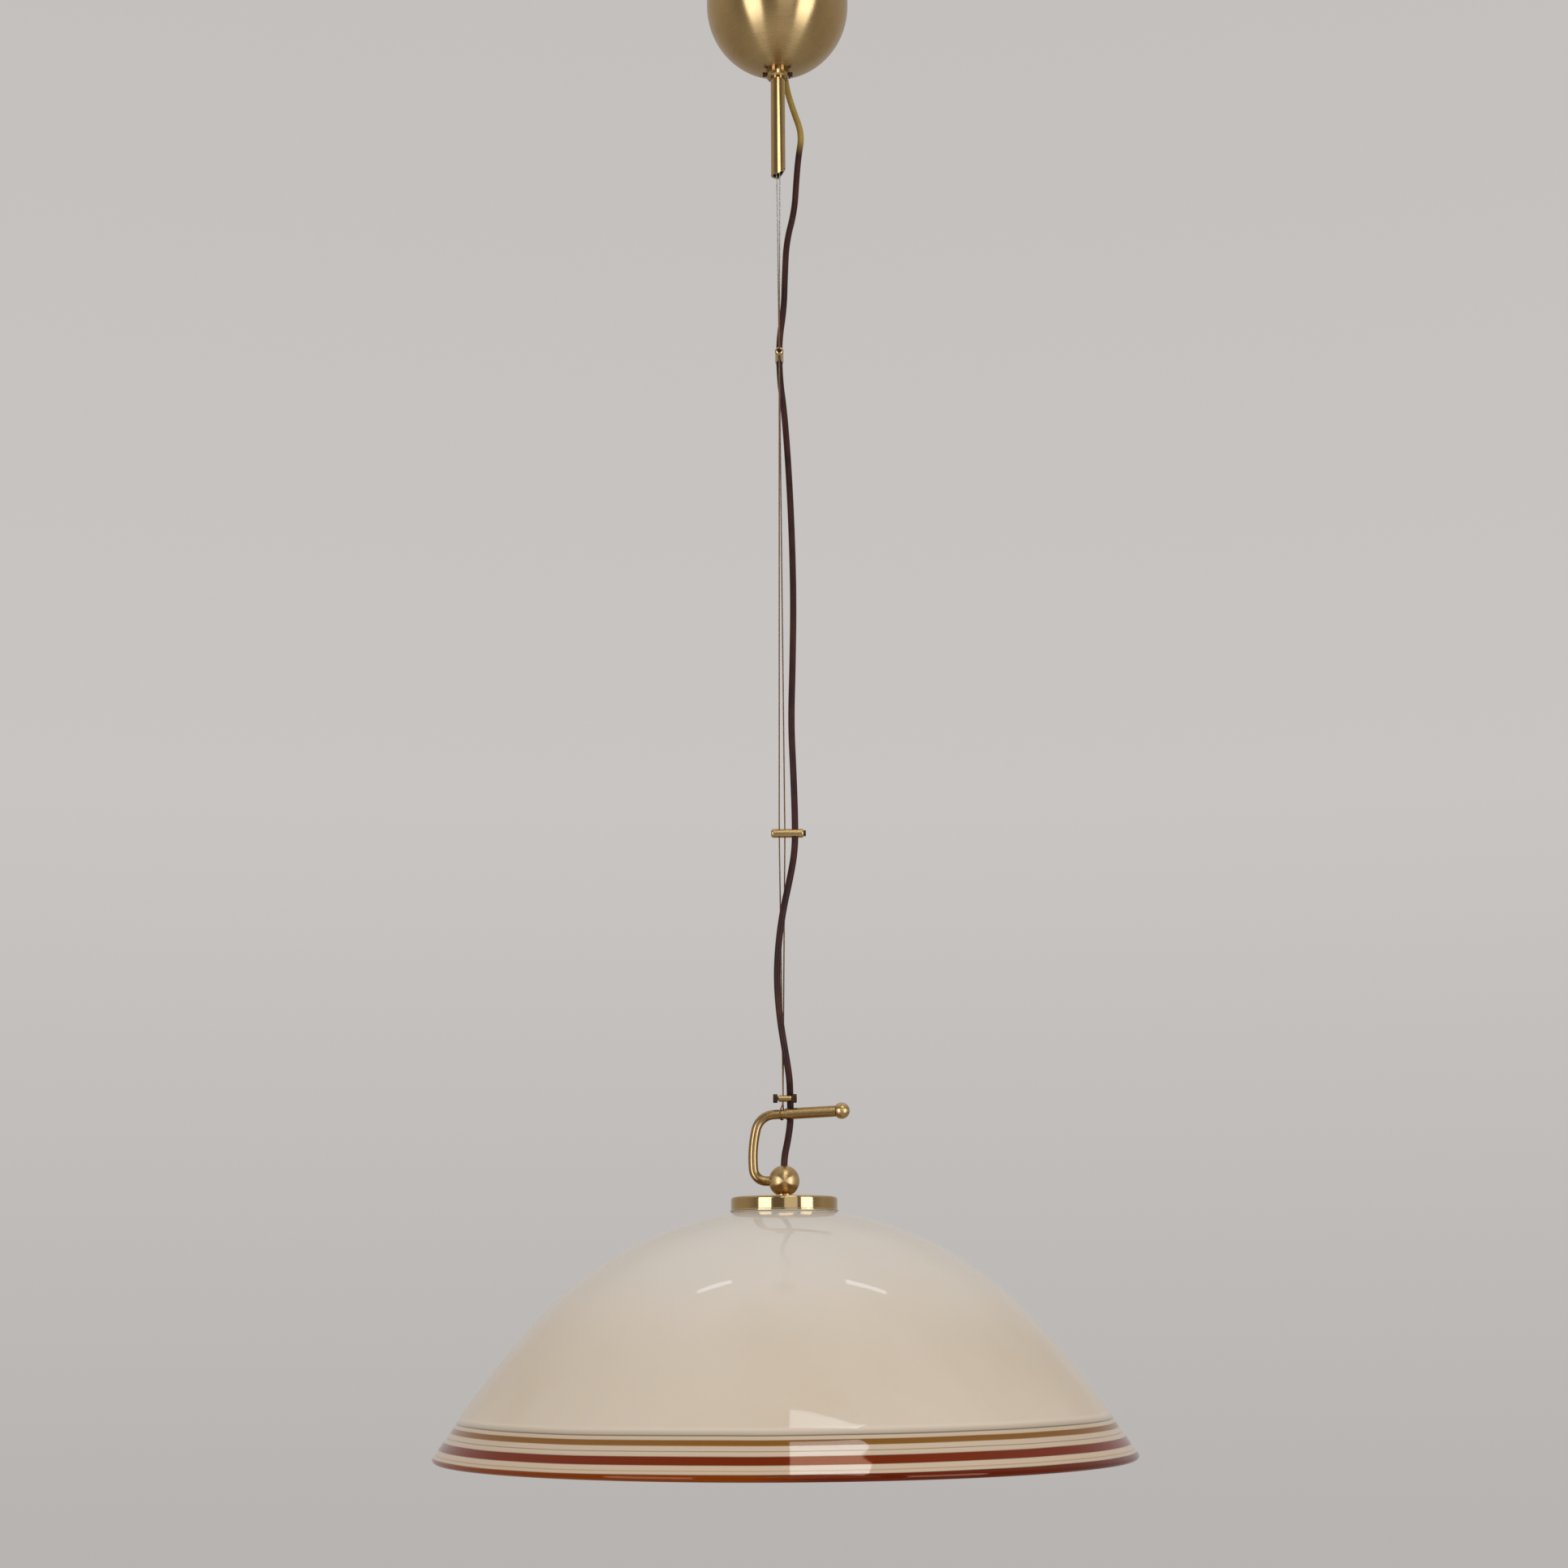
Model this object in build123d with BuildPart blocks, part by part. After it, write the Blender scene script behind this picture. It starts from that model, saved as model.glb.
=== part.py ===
"""Glass pendant light: ceiling bracket and canopy, wire suspension, carrying handle and blown glass shade.

Millimetres, +Z up. The origin is on the ceiling, in the middle between the two fixing screws.
"""
import math
import os

from build123d import *

os.makedirs("parts", exist_ok=True)

# Clearances, all radial or on one side
RUNNING_FIT = 0.05
PASSING_FIT = 0.3
SEAT_GAP = 0.02
GLASS_GAP = 0.15

# Ceiling bracket: a steel strap bent into a bridge
SCREW_SPACING = 70.0
SCREW_HOLE_DIA = 5.0
STRAP_WIDTH = 22.0
STRAP_THICK = 2.0
STRAP_BEND = 3.0
FOOT_OVERHANG = 10.0
BRIDGE_LENGTH = 46.0
BRIDGE_SLOPE = 6.0
BRIDGE_DROP = 20.0

# Stem tube, held to the bridge by a hollow threaded nipple and a nut
STEM_DIA = 11.5
STEM_LENGTH = 162.3
STEM_CUT_START = 0.6
STEM_CUT_HEIGHT = 6.0
STEM_NIPPLE_DIA = 8.0
STEM_NIPPLE_BORE = 5.0
STEM_NIPPLE_GRIP = 14.0
NIPPLE_SHOW = 1.0
STEM_NUT_ACROSS = 13.0
STEM_NUT_THICK = 5.0

# Canopy: a spun cup, round below and straight above
CANOPY_DIA = 114.0
CANOPY_WALL = 1.0
CANOPY_SKIRT = 33.0
CANOPY_SEAT_DIA = 20.0
CEILING_GAP = 1.0

# Set collar under the canopy, with two radial screws
COLLAR_DIA = 18.0
COLLAR_HEIGHT = 8.0
COLLAR_BEVEL = 1.2
COLLAR_SCREW_DIA = 2.5
COLLAR_HEAD_DIA = 3.6
COLLAR_HEAD_LENGTH = 3.0
COLLAR_SLOT = 0.7

# Terminal block under the bridge
TERMINAL_WIDTH = 13.0
TERMINAL_DEPTH = 20.0
TERMINAL_HEIGHT = 16.0
TERMINAL_X = -16.5
TERMINAL_POLE_PITCH = 11.0
TERMINAL_ENTRY_DIA = 3.6
TERMINAL_SCREW_DIA = 3.2
TERMINAL_FIXING_DIA = 2.5
TERMINAL_FIXING_HEAD_DIA = 4.6
TERMINAL_FIXING_HEAD = 1.6
TERMINAL_FIXING_SUNK = 1.2
TERMINAL_CORNER = 1.5

# Suspension wires
WIRE_DIA = 1.1
WIRE_BEND = 60.0
STEM_WIRE_PITCH = 2.4
BAR_WIRE_PITCH = 4.2
CLAMP_WIRE_PITCH = 1.3
UPPER_RUN = 151.7
MIDDLE_RUN = 383.0
LOWER_RUN = 198.5
WIRE_FOOT_X = -0.4
ANCHOR_DIA = 12.0
ANCHOR_THICK = 5.0
FERRULE_DIA = 2.1
FERRULE_LENGTH = 4.0

# Mains cable
CABLE_DIA = 5.0
CORE_DIA = 1.8
SHEATH_GAP = 8.0
CABLE_INNER_RUN = 10.0
CABLE_OUTER_RUN = 10.0
GROMMET_X = 6.0
GROMMET_Y = 13.0
GROMMET_HOLE_DIA = 7.0
GROMMET_FLANGE_DIA = 8.8
GROMMET_FLANGE = 1.2

# Spacer bars, which carry both wires and the cable
BAR_DIA = 6.8
BAR_LENGTH = 25.0
BAR_WIRE_END = 8.3
BAR_CABLE_OFFSET = 9.8
BAR_END_ROUND = 2.0
BAR_SCREW_DIA = 3.6
BAR_SCREW_SUNK = 0.8
BAR_CAP_DIA = 4.6
BAR_CAP_LENGTH = 1.2
BAR_SCREW_SLOT = 0.7

# Barrel clamp that closes the wire loop, with a thumbscrew at each end
CLAMP_DIA = 5.0
CLAMP_LENGTH = 9.2
CLAMP_SHIFT = 1.4
CLAMP_SCREW_DIA = 2.9
CLAMP_HEAD_DIA = 6.5
CLAMP_HEAD_LENGTH = 3.4
CLAMP_NECK = 0.75
CLAMP_HEAD_BEVEL = 0.5
LOOP_DROP = 11.5
LOOP_FRONT_X = -2.9
LOOP_BACK_X = -0.1
LOOP_CORNER = 3.95
LOOP_NECK_BEND = 2.2
LOOP_SHOULDER_BEND = 3.0
LOOP_SHOULDER_RISE = 2.0
LOOP_NECK_DROP = 4.3

# Carrying handle: a bent rod from the neck ball to a round knob, with a sleeve for the hand
HANDLE_DIA = 7.0
HANDLE_ROOT_REACH = 5.6
HANDLE_BEND_REACH = 12.9
HANDLE_LOW_RADIUS = 9.4
HANDLE_SIDE_RADIUS = 92.0
HANDLE_TOP_RADIUS = 14.0
HANDLE_LOW_TURN = 85.0
HANDLE_SIDE_TURN = 18.0
HANDLE_TOP_TURN = 74.0
HANDLE_TOP_RUN = 49.0
GRIP_WALL = 0.55
GRIP_LOOP_GAP = 0.75
GRIP_END_ROUND = 0.4
KNOB_DIA = 12.0
KNOB_GRIP = 5.0

# Neck ball, which stands on the cap disc with a short round foot
BALL_DIA = 22.6
BALL_FOOT_DIA = 12.0
BALL_FOOT_DROP = 11.7
BALL_CABLE_HOLE_DIA = 6.2
NECK_NIPPLE_DIA = 10.0
NECK_NIPPLE_BORE = 7.6
NECK_NIPPLE_GRIP = 7.0

# Cap disc on the crown of the shade
CAP_DIA = 79.0
CAP_HEIGHT = 10.1
CAP_PLATE = 2.0
CAP_RIM_WALL = 4.0
CAP_EDGE_ROUND = 1.8
CAP_LIP = 0.6
CAP_LIP_HEIGHT = 1.2
GASKET_THICK = 0.8
GASKET_INSET = 0.5

# Glass shade: crown arc on the axis, then a flatter flank arc, and a round rim
SHADE_DIA = 500.0
SHADE_WALL = 5.0
SHADE_CROWN_RADIUS = 241.0
SHADE_CROWN_TURN = 47.6
SHADE_FLANK_RADIUS = 677.0
SHADE_HOLE_DIA = 42.0

# Clamping washer and nut under the glass
WASHER_DIA = 58.0
WASHER_THICK = 1.5
NECK_NUT_ACROSS = 14.0
NECK_NUT_THICK = 4.0

# Lampholder
HOLDER_GAP = 1.5
HOLDER_NECK_DIA = 17.0
HOLDER_NECK_HEIGHT = 7.0
HOLDER_CAP_DIA = 39.0
HOLDER_CAP_HEIGHT = 22.0
HOLDER_CAP_WALL = 2.0
HOLDER_CAP_ROUND = 8.0
HOLDER_SHELL_HEIGHT = 32.0
HOLDER_SHELL_WALL = 2.4
HOLDER_MOUTH_DIA = 36.0
INSERT_THICK = 9.0
SLEEVE_DIA = 27.6
SLEEVE_WALL = 0.4
SLEEVE_HEIGHT = 22.0
CONTACT_DIA = 7.0
CONTACT_THICK = 1.0

# Bulb
BULB_BASE_DIA = 26.2
BULB_BASE_HEIGHT = 24.0
BULB_TIP_DIA = 9.0
BULB_TIP_HEIGHT = 3.0
BULB_DIA = 60.0
BULB_LENGTH = 104.0
BULB_NECK_DIA = 27.6
BULB_NECK_HEIGHT = 6.0
BULB_WALL = 0.8

# Heights worked out down the lamp
bridge_under = -BRIDGE_DROP
bridge_top = bridge_under + STRAP_THICK
nipple_top = bridge_top + STEM_NUT_THICK + NIPPLE_SHOW
stem_end = bridge_under - STEM_LENGTH
canopy_equator = -CEILING_GAP - CANOPY_SKIRT
canopy_radius = CANOPY_DIA / 2
canopy_seat = canopy_equator - math.sqrt(canopy_radius**2 - (CANOPY_SEAT_DIA / 2) ** 2)
upper_bar_z = stem_end - UPPER_RUN
lower_bar_z = upper_bar_z - MIDDLE_RUN
clamp_z = lower_bar_z - LOWER_RUN
loop_z = clamp_z - LOOP_DROP

# The handle's bends, measured from its root in the neck ball
turn_low = math.radians(HANDLE_LOW_TURN)
turn_side = turn_low + math.radians(HANDLE_SIDE_TURN)
turn_top = turn_side + math.radians(HANDLE_TOP_TURN)
handle_rise = (
    HANDLE_LOW_RADIUS * (1 - math.cos(turn_low))
    + HANDLE_SIDE_RADIUS * (math.cos(turn_low) - math.cos(turn_side))
    + HANDLE_TOP_RADIUS * (math.cos(turn_side) - math.cos(turn_top))
)
handle_reach = (
    HANDLE_BEND_REACH
    + HANDLE_LOW_RADIUS * math.sin(turn_low)
    + HANDLE_SIDE_RADIUS * (math.sin(turn_side) - math.sin(turn_low))
    + HANDLE_TOP_RADIUS * (math.sin(turn_top) - math.sin(turn_side))
)
loop_x = (LOOP_FRONT_X + LOOP_BACK_X) / 2
ball_z = loop_z - handle_rise - (loop_x + handle_reach) * math.tan(math.pi - turn_top)
cap_top = ball_z - BALL_FOOT_DROP
cap_bottom = cap_top - CAP_HEIGHT


def drop_on_ball(radius, reach):
    """How far a ball of this radius falls away from its pole at this distance from the axis."""
    return radius - math.sqrt(radius**2 - reach**2)


cap_gasket_reach = CAP_DIA / 2 - GASKET_INSET
crown_top = cap_bottom - GASKET_THICK + drop_on_ball(SHADE_CROWN_RADIUS, cap_gasket_reach)
crown_centre = crown_top - SHADE_CROWN_RADIUS
inner_crown_radius = SHADE_CROWN_RADIUS - SHADE_WALL
washer_top = crown_centre + math.sqrt(inner_crown_radius**2 - (WASHER_DIA / 2) ** 2) - GASKET_THICK
washer_under = washer_top - WASHER_THICK
neck_nut_under = washer_under - NECK_NUT_THICK
holder_top = neck_nut_under - HOLDER_GAP
holder_seam = holder_top - HOLDER_CAP_HEIGHT
holder_mouth = holder_seam - HOLDER_SHELL_HEIGHT
insert_under = holder_seam - INSERT_THICK
bulb_tip = insert_under - CONTACT_THICK - SEAT_GAP
bulb_base_top = bulb_tip - BULB_TIP_HEIGHT
bulb_base_under = bulb_base_top - BULB_BASE_HEIGHT


def save(builder, name):
    builder.part.label = name
    export_step(builder.part, f"parts/{name}.step")


def ring(outer_dia, inner_dia, top, under, name):
    """A plain ring or tube on the lamp's axis."""
    with BuildPart() as piece:
        with BuildSketch(Plane.XY.offset(under)):
            Circle(outer_dia / 2)
            Circle(inner_dia / 2, mode=Mode.SUBTRACT)
        extrude(amount=top - under)
    save(piece, name)


def hex_nut(across, bore_dia, top, under, name):
    with BuildPart() as piece:
        with BuildSketch(Plane.XY.offset(under)):
            RegularPolygon(across / 2, 6, major_radius=False)
            Circle(bore_dia / 2, mode=Mode.SUBTRACT)
        extrude(amount=top - under)
    save(piece, name)


def bend_radii(points):
    """The largest arc that each corner of a cord's route has room for."""
    radii = []
    for before, here, after in zip(points, points[1:], points[2:]):
        first = Vector(*here) - Vector(*before)
        second = Vector(*after) - Vector(*here)
        half_turn = math.radians(first.get_angle(second) / 2)
        radii.append(0.45 * min(first.length, second.length) / math.tan(half_turn))
    return radii


def cord(points, diameter, radii, name):
    """A round cord along straight runs joined by tangent arcs."""
    with BuildPart() as piece:
        with BuildLine() as route:
            FilletPolyline(*points, radius=radii)
        with BuildSketch(Plane(origin=points[0], z_dir=Vector(*points[1]) - Vector(*points[0]))):
            Circle(diameter / 2)
        sweep(path=route.wires()[0])
    length = route.wires()[0].length
    section = math.pi * diameter**2 / 4
    share = piece.part.volume / (section * length)
    print(f"{name}: length {length:.1f}, least radius {min(radii):.1f}, volume share {share:.4f}")
    save(piece, name)


# Ceiling bracket
knee_x = BRIDGE_LENGTH / 2 + BRIDGE_SLOPE
foot_x = SCREW_SPACING / 2 + FOOT_OVERHANG
foot_z = -STRAP_THICK / 2
bridge_z = bridge_under + STRAP_THICK / 2
with BuildPart() as ceiling_bracket:
    with BuildSketch(Plane.XZ):
        with BuildLine():
            FilletPolyline(
                (-foot_x, foot_z),
                (-knee_x, foot_z),
                (-BRIDGE_LENGTH / 2, bridge_z),
                (BRIDGE_LENGTH / 2, bridge_z),
                (knee_x, foot_z),
                (foot_x, foot_z),
                radius=STRAP_BEND,
            )
        trace(line_width=STRAP_THICK)
    extrude(amount=STRAP_WIDTH / 2, both=True)
    with Locations((-SCREW_SPACING / 2, 0, 0), (SCREW_SPACING / 2, 0, 0)):
        Hole(SCREW_HOLE_DIA / 2)
    Hole(STEM_NIPPLE_DIA / 2 + RUNNING_FIT)
    with Locations((TERMINAL_X, 0, 0)):
        Hole(TERMINAL_FIXING_DIA / 2 + RUNNING_FIT)
save(ceiling_bracket, "ceiling_bracket")

# Stem nipple and its nut
nipple_hole_dia = STEM_NIPPLE_DIA + 2 * RUNNING_FIT
ring(STEM_NIPPLE_DIA, STEM_NIPPLE_BORE, nipple_top, bridge_under - STEM_NIPPLE_GRIP, "stem_nipple")
hex_nut(STEM_NUT_ACROSS, nipple_hole_dia, bridge_top + STEM_NUT_THICK, bridge_top, "stem_nut")

# Stem tube, with its foot cut slantwise on the right
stem_radius = STEM_DIA / 2
with BuildPart() as stem_tube:
    with BuildSketch(Plane.XY.offset(stem_end)):
        Circle(stem_radius)
        Circle(nipple_hole_dia / 2, mode=Mode.SUBTRACT)
    extrude(amount=STEM_LENGTH)
    with BuildSketch(Plane.XZ):
        with BuildLine():
            Polyline(
                (STEM_CUT_START, stem_end),
                (stem_radius, stem_end + STEM_CUT_HEIGHT),
                (STEM_DIA, stem_end + STEM_CUT_HEIGHT),
                (STEM_DIA, stem_end - STEM_CUT_HEIGHT),
                (STEM_CUT_START, stem_end - STEM_CUT_HEIGHT),
                close=True,
            )
        make_face()
    extrude(amount=STEM_DIA, both=True, mode=Mode.SUBTRACT)
save(stem_tube, "stem_tube")

# Wire anchor on the nipple, with a crimped ferrule on each wire
anchor_top = nipple_top + ANCHOR_THICK
wire_hole_dia = WIRE_DIA + 2 * RUNNING_FIT
wire_places = [(-STEM_WIRE_PITCH / 2, 0), (STEM_WIRE_PITCH / 2, 0)]
with BuildPart() as wire_anchor:
    with BuildSketch(Plane.XY.offset(nipple_top)):
        Circle(ANCHOR_DIA / 2)
        with Locations(*wire_places):
            Circle(wire_hole_dia / 2, mode=Mode.SUBTRACT)
    extrude(amount=ANCHOR_THICK)
save(wire_anchor, "wire_anchor")

with BuildPart() as wire_ferrules:
    with BuildSketch(Plane.XY.offset(anchor_top)):
        with Locations(*wire_places):
            Circle(FERRULE_DIA / 2)
            Circle(wire_hole_dia / 2, mode=Mode.SUBTRACT)
    extrude(amount=FERRULE_LENGTH)
save(wire_ferrules, "wire_ferrules")

# Terminal block, hung under the bridge by one screw
terminal_under = bridge_under - TERMINAL_HEIGHT
fixing_seat = terminal_under + TERMINAL_FIXING_SUNK + TERMINAL_FIXING_HEAD
pole_places = [(TERMINAL_X, -TERMINAL_POLE_PITCH / 2), (TERMINAL_X, TERMINAL_POLE_PITCH / 2)]
terminal_side = TERMINAL_X - TERMINAL_WIDTH / 2
terminal_screw_depth = TERMINAL_WIDTH / 2 - TERMINAL_ENTRY_DIA / 2
terminal_levels = [bridge_under - TERMINAL_HEIGHT / 4, bridge_under - 3 * TERMINAL_HEIGHT / 4]
terminal_face = Plane(origin=(terminal_side, 0, 0), x_dir=(0, 1, 0), z_dir=(1, 0, 0))
clamp_places = [(y, z) for _, y in pole_places for z in terminal_levels]
with BuildPart() as terminal_block:
    with BuildSketch(Plane.XY.offset(terminal_under)):
        with Locations((TERMINAL_X, 0)):
            RectangleRounded(TERMINAL_WIDTH, TERMINAL_DEPTH, TERMINAL_CORNER)
            Circle(TERMINAL_FIXING_DIA / 2 + RUNNING_FIT, mode=Mode.SUBTRACT)
        with Locations(*pole_places):
            Circle(TERMINAL_ENTRY_DIA / 2, mode=Mode.SUBTRACT)
    extrude(amount=TERMINAL_HEIGHT)
    with BuildSketch(terminal_face):
        with Locations(*clamp_places):
            Circle(TERMINAL_SCREW_DIA / 2 + RUNNING_FIT)
    extrude(amount=terminal_screw_depth, mode=Mode.SUBTRACT)
    with BuildSketch(Plane.XY.offset(terminal_under)):
        with Locations((TERMINAL_X, 0)):
            Circle(TERMINAL_FIXING_HEAD_DIA / 2 + RUNNING_FIT)
    extrude(amount=fixing_seat - terminal_under, mode=Mode.SUBTRACT)
save(terminal_block, "terminal_block")

with BuildPart() as terminal_screws:
    with BuildSketch(terminal_face.offset(TERMINAL_CORNER)):
        with Locations(*clamp_places):
            Circle(TERMINAL_SCREW_DIA / 2)
    extrude(amount=terminal_screw_depth - TERMINAL_CORNER)
    with BuildSketch(Plane.XY.offset(fixing_seat - SEAT_GAP)):
        with Locations((TERMINAL_X, 0)):
            Circle(TERMINAL_FIXING_DIA / 2)
    extrude(amount=bridge_top - fixing_seat)
    with BuildSketch(Plane.XY.offset(fixing_seat - SEAT_GAP)):
        with Locations((TERMINAL_X, 0)):
            Circle(TERMINAL_FIXING_HEAD_DIA / 2)
    extrude(amount=-TERMINAL_FIXING_HEAD)
save(terminal_screws, "terminal_screws")

# Canopy cup
inner_radius = canopy_radius - CANOPY_WALL
canopy_hole = stem_radius + PASSING_FIT
canopy_rim = -CEILING_GAP
seat_reach = CANOPY_SEAT_DIA / 2
inner_seat = canopy_seat + CANOPY_WALL
inner_reach = math.sqrt(inner_radius**2 - (canopy_equator - inner_seat) ** 2)
outward = Vector(GROMMET_X, GROMMET_Y, -math.sqrt(canopy_radius**2 - GROMMET_X**2 - GROMMET_Y**2)).normalized()
canopy_centre = Vector(0, 0, canopy_equator)
grommet_plane = Plane(origin=canopy_centre + outward * canopy_radius, z_dir=outward)
with BuildPart() as canopy_cup:
    with BuildSketch(Plane.XZ):
        with BuildLine():
            Line((canopy_hole, canopy_seat), (seat_reach, canopy_seat))
            RadiusArc((seat_reach, canopy_seat), (canopy_radius, canopy_equator), -canopy_radius)
            Line((canopy_radius, canopy_equator), (canopy_radius, canopy_rim))
            Line((canopy_radius, canopy_rim), (inner_radius, canopy_rim))
            Line((inner_radius, canopy_rim), (inner_radius, canopy_equator))
            RadiusArc((inner_radius, canopy_equator), (inner_reach, inner_seat), inner_radius)
            Polyline((inner_reach, inner_seat), (canopy_hole, inner_seat), (canopy_hole, canopy_seat))
        make_face()
    revolve(axis=Axis.Z)
    with BuildSketch(grommet_plane):
        Circle(GROMMET_HOLE_DIA / 2 + RUNNING_FIT)
    extrude(amount=2 * CANOPY_WALL, both=True, mode=Mode.SUBTRACT)
save(canopy_cup, "canopy_cup")

# Grommet where the cable leaves the canopy
flange_lift = drop_on_ball(inner_radius, GROMMET_FLANGE_DIA / 2) + SEAT_GAP
grommet_length = 2 * GROMMET_FLANGE + CANOPY_WALL + flange_lift
with BuildPart() as cable_grommet:
    with BuildSketch(grommet_plane.offset(GROMMET_FLANGE)):
        Circle(GROMMET_HOLE_DIA / 2)
    extrude(amount=-grommet_length)
    with BuildSketch(grommet_plane):
        Circle(GROMMET_FLANGE_DIA / 2)
    extrude(amount=GROMMET_FLANGE)
    with BuildSketch(grommet_plane.offset(-CANOPY_WALL - flange_lift)):
        Circle(GROMMET_FLANGE_DIA / 2)
    extrude(amount=-GROMMET_FLANGE)
    with BuildSketch(grommet_plane.offset(GROMMET_FLANGE)):
        Circle(CABLE_DIA / 2 + RUNNING_FIT)
    extrude(amount=-grommet_length, mode=Mode.SUBTRACT)
save(cable_grommet, "cable_grommet")

# Set collar and its screws
collar_under = canopy_seat - COLLAR_HEIGHT
collar_radius = COLLAR_DIA / 2
collar_screw_z = canopy_seat - COLLAR_HEIGHT / 2
with BuildPart() as canopy_collar:
    with BuildSketch(Plane.XY.offset(collar_under)):
        Circle(collar_radius)
    extrude(amount=COLLAR_HEIGHT)
    chamfer(canopy_collar.edges().group_by(Axis.Z)[0], COLLAR_BEVEL)
    with BuildSketch(Plane.XY.offset(collar_under)):
        Circle(stem_radius + RUNNING_FIT)
    extrude(amount=COLLAR_HEIGHT, mode=Mode.SUBTRACT)
    with BuildSketch(Plane.YZ):
        with Locations((0, collar_screw_z)):
            Circle(COLLAR_SCREW_DIA / 2 + RUNNING_FIT)
    extrude(amount=COLLAR_DIA, both=True, mode=Mode.SUBTRACT)
save(canopy_collar, "canopy_collar")

with BuildPart() as collar_screws:
    for side in (-1, 1):
        with BuildSketch(Plane.YZ.offset(side * (stem_radius + RUNNING_FIT))):
            with Locations((0, collar_screw_z)):
                Circle(COLLAR_SCREW_DIA / 2)
        extrude(amount=side * (collar_radius - stem_radius))
        with BuildSketch(Plane.YZ.offset(side * (collar_radius + RUNNING_FIT))):
            with Locations((0, collar_screw_z)):
                Circle(COLLAR_HEAD_DIA / 2)
        extrude(amount=side * COLLAR_HEAD_LENGTH)
        with BuildSketch(Plane.YZ.offset(side * (collar_radius + RUNNING_FIT + COLLAR_HEAD_LENGTH))):
            with Locations((0, collar_screw_z)):
                Rectangle(COLLAR_SLOT, COLLAR_HEAD_DIA)
        extrude(amount=-side * COLLAR_SLOT, mode=Mode.SUBTRACT)
save(collar_screws, "collar_screws")


def bar_planes(centre, along):
    """The plane across a spacer bar at its wires, and the level plane through its axis."""
    across = Plane(origin=centre, x_dir=(0, 0, 1), z_dir=along)
    level = Plane(origin=centre, x_dir=along, z_dir=(0, 0, 1))
    return across, level


def spacer_bar(centre, along, name):
    """A turned bar with holes for both wires and the cable, and a tapped hole in each end."""
    across, level = bar_planes(centre, along)
    with BuildPart() as bar:
        with BuildSketch(across.offset(-BAR_WIRE_END)):
            Circle(BAR_DIA / 2)
        extrude(amount=BAR_LENGTH)
        fillet(bar.edges().filter_by(GeomType.CIRCLE), BAR_END_ROUND)
        with BuildSketch(level):
            with Locations((-BAR_WIRE_PITCH / 2, 0), (BAR_WIRE_PITCH / 2, 0)):
                Circle(WIRE_DIA / 2 + PASSING_FIT)
            with Locations((BAR_CABLE_OFFSET, 0)):
                Circle(CABLE_DIA / 2 + RUNNING_FIT)
        extrude(amount=BAR_DIA, both=True, mode=Mode.SUBTRACT)
        with BuildSketch(across.offset(-BAR_WIRE_END)):
            Circle(BAR_SCREW_DIA / 2 + RUNNING_FIT)
        extrude(amount=BAR_WIRE_END - BAR_WIRE_PITCH / 2, mode=Mode.SUBTRACT)
        with BuildSketch(across.offset(BAR_LENGTH - BAR_WIRE_END)):
            Circle(BAR_SCREW_DIA / 2 + RUNNING_FIT)
        extrude(amount=BAR_CABLE_OFFSET + BAR_WIRE_END - BAR_LENGTH, mode=Mode.SUBTRACT)
    save(bar, name)


def bar_screws(centre, along, name):
    """The sunk screw that grips the wires and the capped screw that grips the cable."""
    across, _ = bar_planes(centre, along)
    wire_face = -BAR_WIRE_PITCH / 2 - WIRE_DIA / 2 - PASSING_FIT
    cable_face = BAR_CABLE_OFFSET + CABLE_DIA / 2 + PASSING_FIT
    cable_end = BAR_LENGTH - BAR_WIRE_END
    with BuildPart() as screws:
        with BuildSketch(across.offset(-BAR_WIRE_END + BAR_SCREW_SUNK)):
            Circle(BAR_SCREW_DIA / 2)
        extrude(amount=wire_face + BAR_WIRE_END - BAR_SCREW_SUNK)
        with BuildSketch(across.offset(-BAR_WIRE_END + BAR_SCREW_SUNK)):
            Rectangle(BAR_SCREW_SLOT, BAR_SCREW_DIA)
        extrude(amount=BAR_SCREW_SLOT, mode=Mode.SUBTRACT)
        with BuildSketch(across.offset(cable_face)):
            Circle(BAR_SCREW_DIA / 2)
        extrude(amount=cable_end - cable_face + BAR_CAP_LENGTH)
        with BuildSketch(across.offset(cable_end + SEAT_GAP)):
            Circle(BAR_CAP_DIA / 2)
        extrude(amount=BAR_CAP_LENGTH)
    save(screws, name)


# Spacer bars: the upper one points away from the front, the lower one to the right
upper_bar_centre = (0, 0, upper_bar_z)
lower_bar_centre = (0, 0, lower_bar_z)
spacer_bar(upper_bar_centre, (0, 1, 0), "upper_bar")
bar_screws(upper_bar_centre, (0, 1, 0), "upper_bar_screws")
spacer_bar(lower_bar_centre, (1, 0, 0), "lower_bar")
bar_screws(lower_bar_centre, (1, 0, 0), "lower_bar_screws")

# Suspension wires: the left leg passes to the front at the upper bar, the right leg to the back
wire_top = anchor_top + FERRULE_LENGTH
for side, leg in ((-1, "left"), (1, "right")):
    at_stem = side * STEM_WIRE_PITCH / 2
    at_bar = side * BAR_WIRE_PITCH / 2
    at_clamp = side * CLAMP_WIRE_PITCH / 2
    upper_route = [(at_stem, 0, wire_top), (at_stem, 0, stem_end), (0, at_bar, upper_bar_z)]
    lower_route = [(0, at_bar, upper_bar_z), (at_bar, 0, lower_bar_z), (WIRE_FOOT_X, at_clamp, clamp_z)]
    cord(upper_route, WIRE_DIA, [WIRE_BEND], f"wire_upper_{leg}")
    cord(lower_route, WIRE_DIA, [WIRE_BEND], f"wire_lower_{leg}")

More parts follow.
